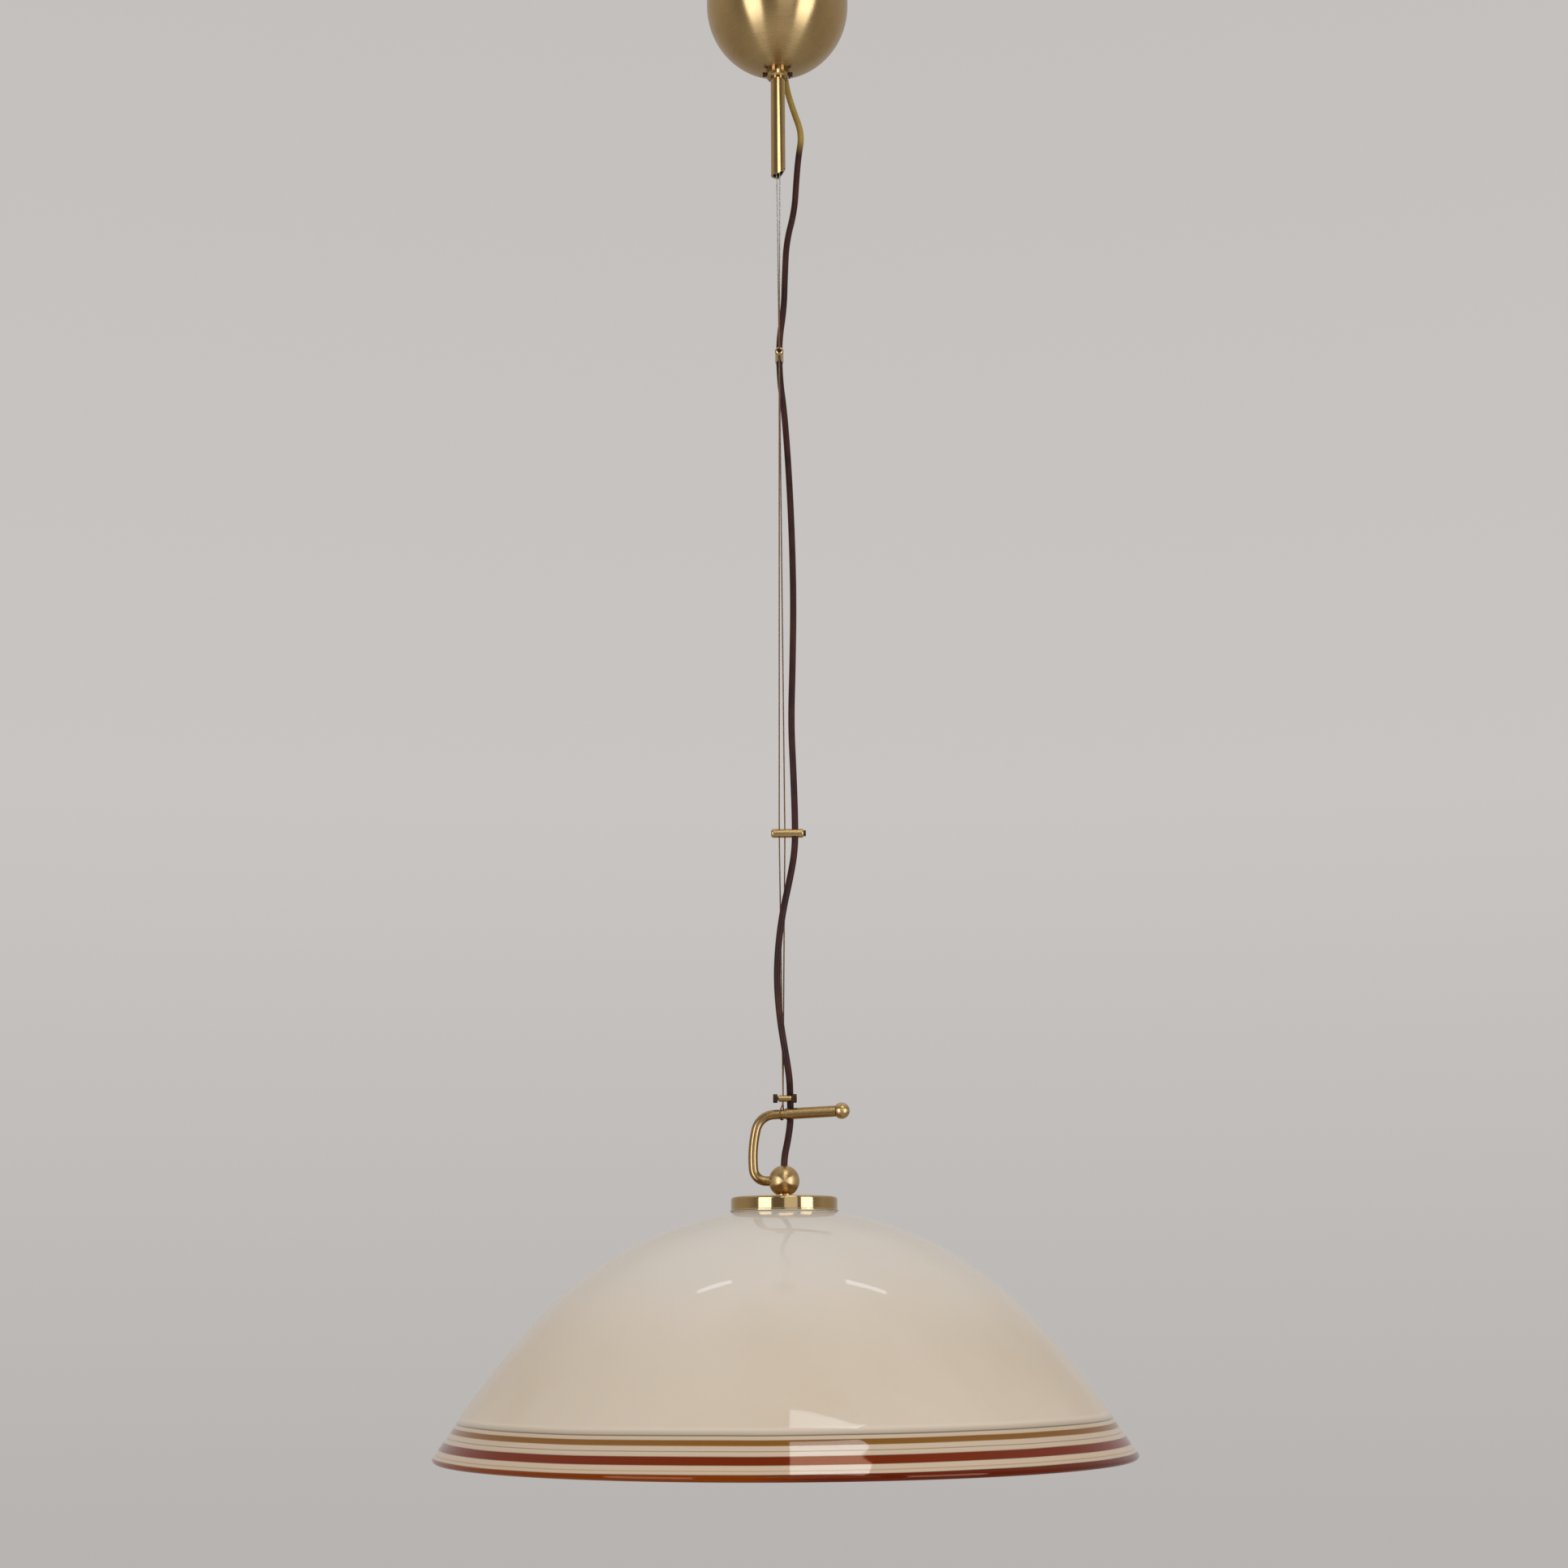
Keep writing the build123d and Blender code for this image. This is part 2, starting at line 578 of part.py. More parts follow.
# Wire loop under the handle
loop_reach = HANDLE_DIA / 2 + WIRE_DIA / 2 + RUNNING_FIT
loop_bottom = loop_z - loop_reach
loop_shoulder = loop_z + LOOP_SHOULDER_RISE
loop_neck = clamp_z - LOOP_NECK_DROP
loop_route = [
    (WIRE_FOOT_X, -CLAMP_WIRE_PITCH / 2, clamp_z),
    (WIRE_FOOT_X, -CLAMP_WIRE_PITCH / 2, loop_neck),
    (LOOP_FRONT_X, -loop_reach, loop_shoulder),
    (LOOP_FRONT_X, -loop_reach, loop_bottom),
    (LOOP_BACK_X, loop_reach, loop_bottom),
    (LOOP_BACK_X, loop_reach, loop_shoulder),
    (WIRE_FOOT_X, CLAMP_WIRE_PITCH / 2, loop_neck),
    (WIRE_FOOT_X, CLAMP_WIRE_PITCH / 2, clamp_z),
]
loop_bends = [LOOP_NECK_BEND, LOOP_SHOULDER_BEND, LOOP_CORNER]
cord(loop_route, WIRE_DIA, loop_bends + loop_bends[::-1], "wire_loop")

# Barrel clamp and its two thumbscrews
clamp_x = WIRE_FOOT_X + CLAMP_SHIFT
clamp_half = CLAMP_LENGTH / 2
pinch = WIRE_DIA / 2 + RUNNING_FIT
with BuildPart() as barrel_clamp:
    with BuildSketch(Plane.YZ.offset(clamp_x - clamp_half)):
        with Locations((0, clamp_z)):
            Circle(CLAMP_DIA / 2)
            Circle(CLAMP_SCREW_DIA / 2 + RUNNING_FIT, mode=Mode.SUBTRACT)
    extrude(amount=CLAMP_LENGTH)
    with BuildSketch(Plane.XY.offset(clamp_z)):
        with Locations((WIRE_FOOT_X, 0)):
            Rectangle(WIRE_DIA + 2 * RUNNING_FIT, CLAMP_WIRE_PITCH + WIRE_DIA + 2 * RUNNING_FIT)
    extrude(amount=CLAMP_DIA, both=True, mode=Mode.SUBTRACT)
save(barrel_clamp, "barrel_clamp")

for side, hand in ((-1, "left"), (1, "right")):
    barrel_end = clamp_x + side * clamp_half
    head_start = barrel_end + side * CLAMP_NECK
    tip = WIRE_FOOT_X + side * pinch
    with BuildPart() as thumbscrew:
        with BuildSketch(Plane.YZ.offset(tip)):
            with Locations((0, clamp_z)):
                Circle(CLAMP_SCREW_DIA / 2)
        extrude(amount=head_start - tip)
        with BuildSketch(Plane.YZ.offset(head_start)):
            with Locations((0, clamp_z)):
                Circle(CLAMP_HEAD_DIA / 2)
        extrude(amount=side * CLAMP_HEAD_LENGTH)
        rims = thumbscrew.edges().filter_by(GeomType.CIRCLE).group_by(SortBy.RADIUS)[-1]
        chamfer(rims, CLAMP_HEAD_BEVEL)
    save(thumbscrew, f"clamp_screw_{hand}")

# Carrying handle: the rod leaves the ball to the left, turns up and over and runs out to the right
root_plane = Plane(origin=(-HANDLE_ROOT_REACH, 0, ball_z), z_dir=(-1, 0, 0))
with BuildPart() as handle_arm:
    with BuildLine(Plane.XZ) as handle_line:
        root_run = Line((-HANDLE_ROOT_REACH, ball_z), (-HANDLE_BEND_REACH, ball_z))
        low_bend = JernArc(root_run @ 1, root_run % 1, HANDLE_LOW_RADIUS, -HANDLE_LOW_TURN)
        side_bend = JernArc(low_bend @ 1, low_bend % 1, HANDLE_SIDE_RADIUS, -HANDLE_SIDE_TURN)
        top_bend = JernArc(side_bend @ 1, side_bend % 1, HANDLE_TOP_RADIUS, -HANDLE_TOP_TURN)
        top_run = PolarLine(top_bend @ 1, HANDLE_TOP_RUN, direction=top_bend % 1)
    with BuildSketch(root_plane):
        Circle(HANDLE_DIA / 2)
    sweep(path=handle_line.wires()[0])
save(handle_arm, "handle_arm")

handle_path = handle_line.wires()[0]
arm_end = handle_path @ 1
arm_way = (handle_path % 1).normalized()
knob_centre = arm_end + arm_way * (KNOB_DIA / 2 - KNOB_GRIP)
arm_end_plane = Plane(origin=arm_end, z_dir=arm_way)
with BuildPart() as handle_knob:
    with Locations(knob_centre):
        Sphere(KNOB_DIA / 2)
    with BuildSketch(arm_end_plane):
        Circle(HANDLE_DIA / 2 + SEAT_GAP)
    extrude(amount=-KNOB_DIA, mode=Mode.SUBTRACT)
save(handle_knob, "handle_knob")

# Grip sleeve on the handle's top run, from just beside the wire loop to the knob
grip_bore = HANDLE_DIA / 2 + RUNNING_FIT
grip_start_x = LOOP_BACK_X + WIRE_DIA / 2 + GRIP_LOOP_GAP
grip_start = arm_end - arm_way * ((arm_end.X - grip_start_x) / arm_way.X)
grip_seat = math.sqrt((KNOB_DIA / 2) ** 2 - grip_bore**2) + SEAT_GAP
with BuildPart() as handle_grip:
    with BuildSketch(Plane(origin=grip_start, z_dir=arm_way)):
        Circle(grip_bore + GRIP_WALL)
        Circle(grip_bore, mode=Mode.SUBTRACT)
    extrude(amount=(knob_centre - grip_start).length - grip_seat)
    loop_end = handle_grip.edges().filter_by(GeomType.CIRCLE).sort_by(Axis.X)[:2]
    fillet(loop_end.sort_by(SortBy.RADIUS)[-1], min(GRIP_END_ROUND, GRIP_WALL - RUNNING_FIT))
save(handle_grip, "handle_grip")

# Neck ball: the cable enters on top, the handle on the left and the nipple through its foot
nipple_reach = cap_top + NECK_NIPPLE_GRIP
with BuildPart() as neck_ball:
    with Locations((0, 0, ball_z)):
        Sphere(BALL_DIA / 2)
    with BuildSketch(Plane.XY.offset(cap_top)):
        Circle(BALL_FOOT_DIA / 2)
    extrude(amount=BALL_FOOT_DROP)
    with BuildSketch(Plane.XY.offset(cap_top)):
        Circle(BALL_CABLE_HOLE_DIA / 2)
    extrude(amount=BALL_FOOT_DROP + BALL_DIA, mode=Mode.SUBTRACT)
    with BuildSketch(Plane.XY.offset(cap_top)):
        Circle(NECK_NIPPLE_DIA / 2 + RUNNING_FIT)
    extrude(amount=NECK_NIPPLE_GRIP + SEAT_GAP, mode=Mode.SUBTRACT)
    with BuildSketch(root_plane):
        Circle(HANDLE_DIA / 2 + RUNNING_FIT)
    extrude(amount=BALL_DIA, mode=Mode.SUBTRACT)
save(neck_ball, "neck_ball")

# Neck nipple, from the ball down into the lampholder's cap
neck_nipple_under = holder_top - HOLDER_NECK_HEIGHT
ring(NECK_NIPPLE_DIA, NECK_NIPPLE_BORE, nipple_reach, neck_nipple_under, "neck_nipple")

# Cap disc: a turned cap with a rounded shoulder and a thin lip at its foot
cap_radius = CAP_DIA / 2
neck_hole = NECK_NIPPLE_DIA / 2 + RUNNING_FIT
cap_waist = cap_radius - CAP_LIP
with BuildPart() as cap_disc:
    with BuildSketch(Plane.XZ):
        with BuildLine():
            Polyline(
                (neck_hole, cap_top),
                (cap_waist - CAP_EDGE_ROUND, cap_top),
            )
            RadiusArc(
                (cap_waist - CAP_EDGE_ROUND, cap_top), (cap_waist, cap_top - CAP_EDGE_ROUND), CAP_EDGE_ROUND
            )
            Polyline(
                (cap_waist, cap_top - CAP_EDGE_ROUND),
                (cap_waist, cap_bottom + CAP_LIP_HEIGHT),
                (cap_radius, cap_bottom + CAP_LIP_HEIGHT - CAP_LIP),
                (cap_radius, cap_bottom),
                (cap_radius - CAP_RIM_WALL, cap_bottom),
                (cap_radius - CAP_RIM_WALL, cap_top - CAP_PLATE),
                (neck_hole, cap_top - CAP_PLATE),
                (neck_hole, cap_top),
            )
        make_face()
    revolve(axis=Axis.Z)
save(cap_disc, "cap_disc")


def on_crown(reach, radius):
    """A point of a crown surface in the profile plane."""
    return (reach, crown_centre + math.sqrt(radius**2 - reach**2))


# Gasket between the cap disc and the glass
gasket_inner = cap_radius - CAP_RIM_WALL + GASKET_INSET
with BuildPart() as cap_gasket:
    with BuildSketch(Plane.XZ):
        with BuildLine():
            foot_out = on_crown(cap_gasket_reach, SHADE_CROWN_RADIUS + GLASS_GAP)
            foot_in = on_crown(gasket_inner, SHADE_CROWN_RADIUS + GLASS_GAP)
            RadiusArc(foot_in, foot_out, SHADE_CROWN_RADIUS + GLASS_GAP)
            Polyline(foot_out, (cap_gasket_reach, cap_bottom), (gasket_inner, cap_bottom), foot_in)
        make_face()
    revolve(axis=Axis.Z)
save(cap_gasket, "cap_gasket")

# Glass shade
crown_turn = math.radians(SHADE_CROWN_TURN)
flank_shift = SHADE_CROWN_RADIUS - SHADE_FLANK_RADIUS
flank_x = flank_shift * math.sin(crown_turn)
flank_z = crown_centre + flank_shift * math.cos(crown_turn)
rim_sine = (SHADE_DIA / 2 - SHADE_WALL / 2 - flank_x) / (SHADE_FLANK_RADIUS - SHADE_WALL / 2)
rim_turn = math.asin(rim_sine)


def on_flank(turn, depth):
    """A point of the flank this deep in the glass, where its face has turned this far from level."""
    radius = SHADE_FLANK_RADIUS - depth
    return (flank_x + radius * math.sin(turn), flank_z + radius * math.cos(turn))


glass_hole = SHADE_HOLE_DIA / 2
rim_middle = Vector(*on_flank(rim_turn, SHADE_WALL / 2))
rim_way = Vector(math.cos(rim_turn), -math.sin(rim_turn))
rim_tip = rim_middle + rim_way * (SHADE_WALL / 2)
with BuildPart() as shade_glass:
    with BuildSketch(Plane.XZ):
        with BuildLine():
            crown_out = on_flank(crown_turn, 0)
            crown_in = on_flank(crown_turn, SHADE_WALL)
            rim_out = on_flank(rim_turn, 0)
            rim_in = on_flank(rim_turn, SHADE_WALL)
            hole_out = on_crown(glass_hole, SHADE_CROWN_RADIUS)
            hole_in = on_crown(glass_hole, inner_crown_radius)
            RadiusArc(hole_out, crown_out, SHADE_CROWN_RADIUS)
            RadiusArc(crown_out, rim_out, SHADE_FLANK_RADIUS)
            ThreePointArc(rim_out, (rim_tip.X, rim_tip.Y), rim_in)
            RadiusArc(rim_in, crown_in, -(SHADE_FLANK_RADIUS - SHADE_WALL))
            RadiusArc(crown_in, hole_in, -inner_crown_radius)
            Line(hole_in, hole_out)
        make_face()
    revolve(axis=Axis.Z)
save(shade_glass, "shade_glass")

# Gasket, washer and nut that clamp the glass from below
lower_gasket_out = WASHER_DIA / 2 - GASKET_INSET
lower_gasket_in = glass_hole + GASKET_INSET
with BuildPart() as lower_gasket:
    with BuildSketch(Plane.XZ):
        with BuildLine():
            head_out = on_crown(lower_gasket_out, inner_crown_radius - GLASS_GAP)
            head_in = on_crown(lower_gasket_in, inner_crown_radius - GLASS_GAP)
            RadiusArc(head_in, head_out, inner_crown_radius - GLASS_GAP)
            Polyline(head_out, (lower_gasket_out, washer_top), (lower_gasket_in, washer_top), head_in)
        make_face()
    revolve(axis=Axis.Z)
save(lower_gasket, "lower_gasket")

ring(WASHER_DIA, 2 * neck_hole, washer_top, washer_under, "lower_washer")
hex_nut(NECK_NUT_ACROSS, 2 * neck_hole, washer_under, neck_nut_under, "neck_nut")

# Lampholder cap: a bell with a threaded neck
holder_radius = HOLDER_CAP_DIA / 2
holder_shoulder = holder_top - HOLDER_NECK_HEIGHT
with BuildPart() as holder_cap:
    with BuildSketch(Plane.XY.offset(holder_shoulder)):
        Circle(HOLDER_NECK_DIA / 2)
    extrude(amount=HOLDER_NECK_HEIGHT)
    with BuildSketch(Plane.XZ):
        with BuildLine():
            shoulder_run = holder_radius - HOLDER_CAP_ROUND
            inner_round = HOLDER_CAP_ROUND - HOLDER_CAP_WALL
            inside = holder_radius - HOLDER_CAP_WALL
            Line((0, holder_shoulder), (shoulder_run, holder_shoulder))
            RadiusArc(
                (shoulder_run, holder_shoulder), (holder_radius, holder_shoulder - HOLDER_CAP_ROUND), HOLDER_CAP_ROUND
            )
            Polyline(
                (holder_radius, holder_shoulder - HOLDER_CAP_ROUND),
                (holder_radius, holder_seam),
                (inside, holder_seam),
                (inside, holder_shoulder - HOLDER_CAP_ROUND),
            )
            RadiusArc(
                (inside, holder_shoulder - HOLDER_CAP_ROUND),
                (shoulder_run, holder_shoulder - HOLDER_CAP_WALL),
                -inner_round,
            )
            Polyline(
                (shoulder_run, holder_shoulder - HOLDER_CAP_WALL),
                (0, holder_shoulder - HOLDER_CAP_WALL),
                (0, holder_shoulder),
            )
        make_face()
    revolve(axis=Axis.Z)
    with BuildSketch(Plane.XY.offset(holder_shoulder - HOLDER_CAP_WALL)):
        Circle(neck_hole)
    extrude(amount=HOLDER_NECK_HEIGHT + HOLDER_CAP_WALL, mode=Mode.SUBTRACT)
save(holder_cap, "holder_cap")

# Lampholder shell, drawn in a little towards its mouth
mouth_radius = HOLDER_MOUTH_DIA / 2
with BuildPart() as holder_shell:
    with BuildSketch(Plane.XZ):
        with BuildLine():
            Polyline(
                (holder_radius - HOLDER_SHELL_WALL, holder_seam),
                (holder_radius, holder_seam),
                (mouth_radius, holder_mouth),
                (mouth_radius - HOLDER_SHELL_WALL, holder_mouth),
                close=True,
            )
        make_face()
    revolve(axis=Axis.Z)
save(holder_shell, "holder_shell")

# Insulating insert in the shell, with the screw sleeve and the centre contact under it
insert_taper = (holder_radius - mouth_radius) / HOLDER_SHELL_HEIGHT
insert_top_radius = holder_radius - HOLDER_SHELL_WALL - SEAT_GAP
insert_under_radius = insert_top_radius - insert_taper * INSERT_THICK
with BuildPart() as holder_insert:
    with BuildSketch(Plane.XZ):
        with BuildLine():
            Polyline(
                (0, holder_seam),
                (insert_top_radius, holder_seam),
                (insert_under_radius, insert_under),
                (0, insert_under),
                close=True,
            )
        make_face()
    revolve(axis=Axis.Z)
save(holder_insert, "holder_insert")

sleeve_bore = SLEEVE_DIA - 2 * SLEEVE_WALL
ring(SLEEVE_DIA, sleeve_bore, insert_under, insert_under - SLEEVE_HEIGHT, "screw_sleeve")
with BuildPart() as centre_contact:
    with BuildSketch(Plane.XY.offset(insert_under)):
        Circle(CONTACT_DIA / 2)
    extrude(amount=-CONTACT_THICK)
save(centre_contact, "centre_contact")

# Bulb base
with BuildPart() as bulb_base:
    with BuildSketch(Plane.XZ):
        with BuildLine():
            base_radius = BULB_BASE_DIA / 2
            Polyline(
                (0, bulb_tip),
                (BULB_TIP_DIA / 2, bulb_tip),
                (base_radius, bulb_base_top),
                (base_radius, bulb_base_under),
                (0, bulb_base_under),
                close=True,
            )
        make_face()
    revolve(axis=Axis.Z)
save(bulb_base, "bulb_base")

# Bulb glass: a round globe, drawn up by a straight shoulder to the neck
bulb_radius = BULB_DIA / 2
globe_z = bulb_tip - BULB_LENGTH + bulb_radius
neck_under = bulb_base_under - BULB_NECK_HEIGHT


def bulb_half(wall):
    """Half of the bulb's outline, this deep in its glass."""
    globe = bulb_radius - wall
    neck = BULB_NECK_DIA / 2 - wall
    rise = neck_under - globe_z
    slant = math.hypot(neck, rise)
    lift = math.pi / 2 - math.atan2(neck, rise) - math.acos(globe / slant)
    shoulder = (globe * math.cos(lift), globe_z + globe * math.sin(lift))
    Line((0, globe_z - globe), (0, bulb_base_under))
    Polyline((0, bulb_base_under), (neck, bulb_base_under), (neck, neck_under), shoulder)
    ThreePointArc(shoulder, (globe * math.cos(lift / 2 - math.pi / 4),
                             globe_z + globe * math.sin(lift / 2 - math.pi / 4)), (0, globe_z - globe))


with BuildPart() as bulb_glass:
    with BuildSketch(Plane.XZ):
        with BuildLine():
            bulb_half(0)
        make_face()
    revolve(axis=Axis.Z)
    with BuildSketch(Plane.XZ):
        with BuildLine():
            bulb_half(BULB_WALL)
        make_face()
    revolve(axis=Axis.Z, mode=Mode.SUBTRACT)
save(bulb_glass, "bulb_glass")

# Mains cable: inside the canopy, down to the upper bar in two lengths, and on to the neck ball
cable_exit = tuple(canopy_centre + outward * (canopy_radius - CANOPY_WALL / 2))
cable_inside = tuple(canopy_centre + outward * (canopy_radius - CABLE_INNER_RUN))
cable_outside = tuple(canopy_centre + outward * (canopy_radius + CABLE_OUTER_RUN))
sheath_end = terminal_under - SHEATH_GAP
cable_inner_route = [
    cable_exit,
    cable_inside,
    (0.2, 12.2, -71.5),
    (-6.8, 10, -65.2),
    (-12.6, 6.2, -60.2),
    (-16, 1.2, -52.6),
    (TERMINAL_X, 0, sheath_end),
]
cable_split = (13.6, 12.65, -194.5)
cable_upper_route = [
    cable_exit,
    cable_outside,
    (12.6, 15.6, -118),
    (19.4, 14.6, -139),
    (16.2, 13.6, -160),
    (14.4, 13, -182),
    cable_split,
]
cable_at_upper_bar = (0, BAR_CABLE_OFFSET, upper_bar_z)
cable_middle_route = [
    cable_split,
    (12.8, 12.3, -207),
    (6.2, 11.4, -234),
    (4.8, 10.6, -263),
    (3.9, 10.1, -291),
    (0, BAR_CABLE_OFFSET, upper_bar_z + 16),
    cable_at_upper_bar,
]
cable_lower_route = [
    cable_at_upper_bar,
    (0, BAR_CABLE_OFFSET, upper_bar_z - 14),
    (3.7, 9.2, -379),
    (6, 8.2, -413),
    (7.8, 7, -449),
    (9.2, 5.6, -491),
    (9.8, 4.2, -536),
    (8.8, 2.8, -586),
    (7.3, 1.5, -631),
    (8.8, 0.5, -669),
    (BAR_CABLE_OFFSET, 0, lower_bar_z + 14),
    (BAR_CABLE_OFFSET, 0, lower_bar_z - 12),
    (5.8, -2.8, -752),
    (0.4, -5.2, -776),
    (-3.4, -6.2, -803),
    (-4.6, -6.2, -830),
    (-2.4, -5.2, -858),
    (2, -3.7, -885),
    (4.4, 0.6, -900),
    (4.8, 5.6, -911),
    (5, 8, -922),
    (4.8, 7.8, -934),
    (2.7, 4.6, -947),
    (0.6, 1, -956.5),
    (0, 0, -965),
    (0.05, 0, -978),
    (0, 0, -992),
]
cable_routes = {
    "cable_inner": cable_inner_route,
    "cable_upper": cable_upper_route,
    "cable_middle": cable_middle_route,
    "cable_lower": cable_lower_route,
}
for name, route in cable_routes.items():
    cord(route, CABLE_DIA, bend_radii(route), name)

# The cable's two cores, fanned out into the terminal block
sheath_way = (Vector(*cable_inner_route[-1]) - Vector(*cable_inner_route[-2])).normalized()
core_spread = sheath_way.cross(Vector(1, 0, 0)).normalized() * (CABLE_DIA / 4)
entry_side = TERMINAL_POLE_PITCH / 2
for side, pole in ((-1, "front"), (1, "back")):
    core_start = Vector(TERMINAL_X, 0, sheath_end) + core_spread * side + sheath_way * (CORE_DIA / 2)
    core_route = [
        tuple(core_start),
        (TERMINAL_X, side * entry_side, terminal_under - SHEATH_GAP / 8),
        (TERMINAL_X, side * entry_side, terminal_under + SHEATH_GAP / 2),
    ]
    cord(core_route, CORE_DIA, bend_radii(core_route), f"core_{pole}")
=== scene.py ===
"""Glass pendant light: finishes, cords, blown shade and small turned pieces. Metres, +Z up."""

import math

import bpy
from mathutils import Matrix, Vector


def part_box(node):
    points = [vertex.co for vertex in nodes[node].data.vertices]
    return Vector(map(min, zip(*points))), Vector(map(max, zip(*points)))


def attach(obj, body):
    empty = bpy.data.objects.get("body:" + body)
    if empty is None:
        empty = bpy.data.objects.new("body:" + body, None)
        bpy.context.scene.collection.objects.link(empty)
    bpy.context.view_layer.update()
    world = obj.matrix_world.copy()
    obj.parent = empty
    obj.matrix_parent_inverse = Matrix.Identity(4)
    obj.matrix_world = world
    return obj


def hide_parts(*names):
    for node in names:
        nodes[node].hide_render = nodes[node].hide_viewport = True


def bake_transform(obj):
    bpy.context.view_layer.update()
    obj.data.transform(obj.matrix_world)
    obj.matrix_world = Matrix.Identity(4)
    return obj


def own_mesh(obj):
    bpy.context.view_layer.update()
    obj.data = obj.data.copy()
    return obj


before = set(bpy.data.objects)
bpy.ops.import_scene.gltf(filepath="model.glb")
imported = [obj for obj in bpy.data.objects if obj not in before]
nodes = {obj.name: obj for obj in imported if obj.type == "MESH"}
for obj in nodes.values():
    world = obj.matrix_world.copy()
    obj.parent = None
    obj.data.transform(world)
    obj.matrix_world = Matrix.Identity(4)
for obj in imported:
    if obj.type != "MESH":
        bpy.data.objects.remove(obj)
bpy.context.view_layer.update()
scene = bpy.context.scene

# Sizes shared with the solids
CABLE_DIA = 0.005
WIRE_DIA = 0.0011
CORE_DIA = 0.0018
CROWN_RADIUS = 0.241
CROWN_TURN = math.radians(47.6)
FLANK_RADIUS = 0.677
GLASS_WALL = 0.005
GLASS_HOLE = 0.021
SHADE_LOW, SHADE_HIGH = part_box("shade_glass")
SHADE_RADIUS = SHADE_HIGH.x
RIM_Z = SHADE_LOW.z
CROWN_CENTRE = SHADE_HIGH.z - math.sqrt(CROWN_RADIUS**2 - GLASS_HOLE**2)

# The striped band at the rim
BAND_HEIGHT = 0.036
BAND_LEAN = -0.0045
BAND_WANDER = 0.0011
STEP_HIGH = 0.033
STEP_LOW = 0.0235
STEP_DEPTH = 0.0008

# Edges of the band's threads, as shares of its height
FOOT_EDGES = (0.117, 0.140)
TAN_EDGES = (0.172, 0.186, 0.204)
RUST_EDGES = (0.268, 0.283, 0.413, 0.431)
GREY_EDGES = (0.489, 0.502, 0.515)
OCHRE_EDGES = (0.583, 0.598, 0.679, 0.696)
OLIVE_EDGES = (0.742, 0.758, 0.776)
CLEAR_TOP = 0.870

# The lowest thread's change of colour from left to right
FOOT_CHANGE = (-0.035, 0.03)

# The opal layer's lower edge, as a share of the band's height, and the length over which it fades
OPAL_START = 0.82
OPAL_FADE = 0.0038

# Heights between which the glass turns from its flank's cream to its crown's
FLANK_TOP = -1.12
CROWN_FOOT = -1.0

# Heights between which the cable turns from brown to golden, and the wires from a painted shade to bright
BROWN_TOP = -0.160
GOLDEN_FOOT = -0.142
WIRE_SHADE_TOP = -0.32
BRIGHT_FOOT = -0.2

# Attribute of the cords that their finishes read
REST_HEIGHT = "rest_height"

# Colour sockets of a Mix node
MIX_FIRST, MIX_SECOND, MIX_RESULT = 6, 7, 2


def put(name, data):
    """A new object at the origin that holds this mesh, curve, light or camera."""
    piece = bpy.data.objects.new(name, data)
    scene.collection.objects.link(piece)
    return piece


def tone(colour):
    """An sRGB colour, 0 to 255, as linear light."""
    parts = [c / 255.0 for c in colour]
    return [c / 12.92 if c <= 0.04045 else ((c + 0.055) / 1.055) ** 2.4 for c in parts]


# Nodes of any tree


def add(tree, kind, **settings):
    """A new node with these settings."""
    made = tree.nodes.new(kind)
    for key, value in settings.items():
        setattr(made, key, value)
    return made


def math_node(tree, operation, first, second=0.0):
    """A Math node on two sockets or numbers."""
    made = add(tree, "ShaderNodeMath", operation=operation)
    for socket, value in zip(made.inputs, (first, second)):
        if isinstance(value, (int, float)):
            socket.default_value = value
        else:
            tree.links.new(value, socket)
    return made.outputs["Value"]


def range_node(tree, source, low, high, to_low, to_high, soft=False):
    """A value moved from one range to another."""
    made = add(tree, "ShaderNodeMapRange", interpolation_type="SMOOTHSTEP" if soft else "LINEAR")
    for key, value in (("From Min", low), ("From Max", high), ("To Min", to_low), ("To Max", to_high)):
        made.inputs[key].default_value = value
    tree.links.new(source, made.inputs["Value"])
    return made.outputs["Result"]


def ramp_node(tree, source, stops):
    """A colour ramp with these (place, colour) stops, colours as sRGB 0 to 255."""
    made = add(tree, "ShaderNodeValToRGB")
    bar = made.color_ramp.elements
    while len(bar) < len(stops):
        bar.new(0.5)
    for spot, (where, colour) in zip(bar, stops):
        spot.position = where
        spot.color = (*tone(colour), 1.0)
    tree.links.new(source, made.inputs["Fac"])
    return made.outputs["Color"]


# Finishes


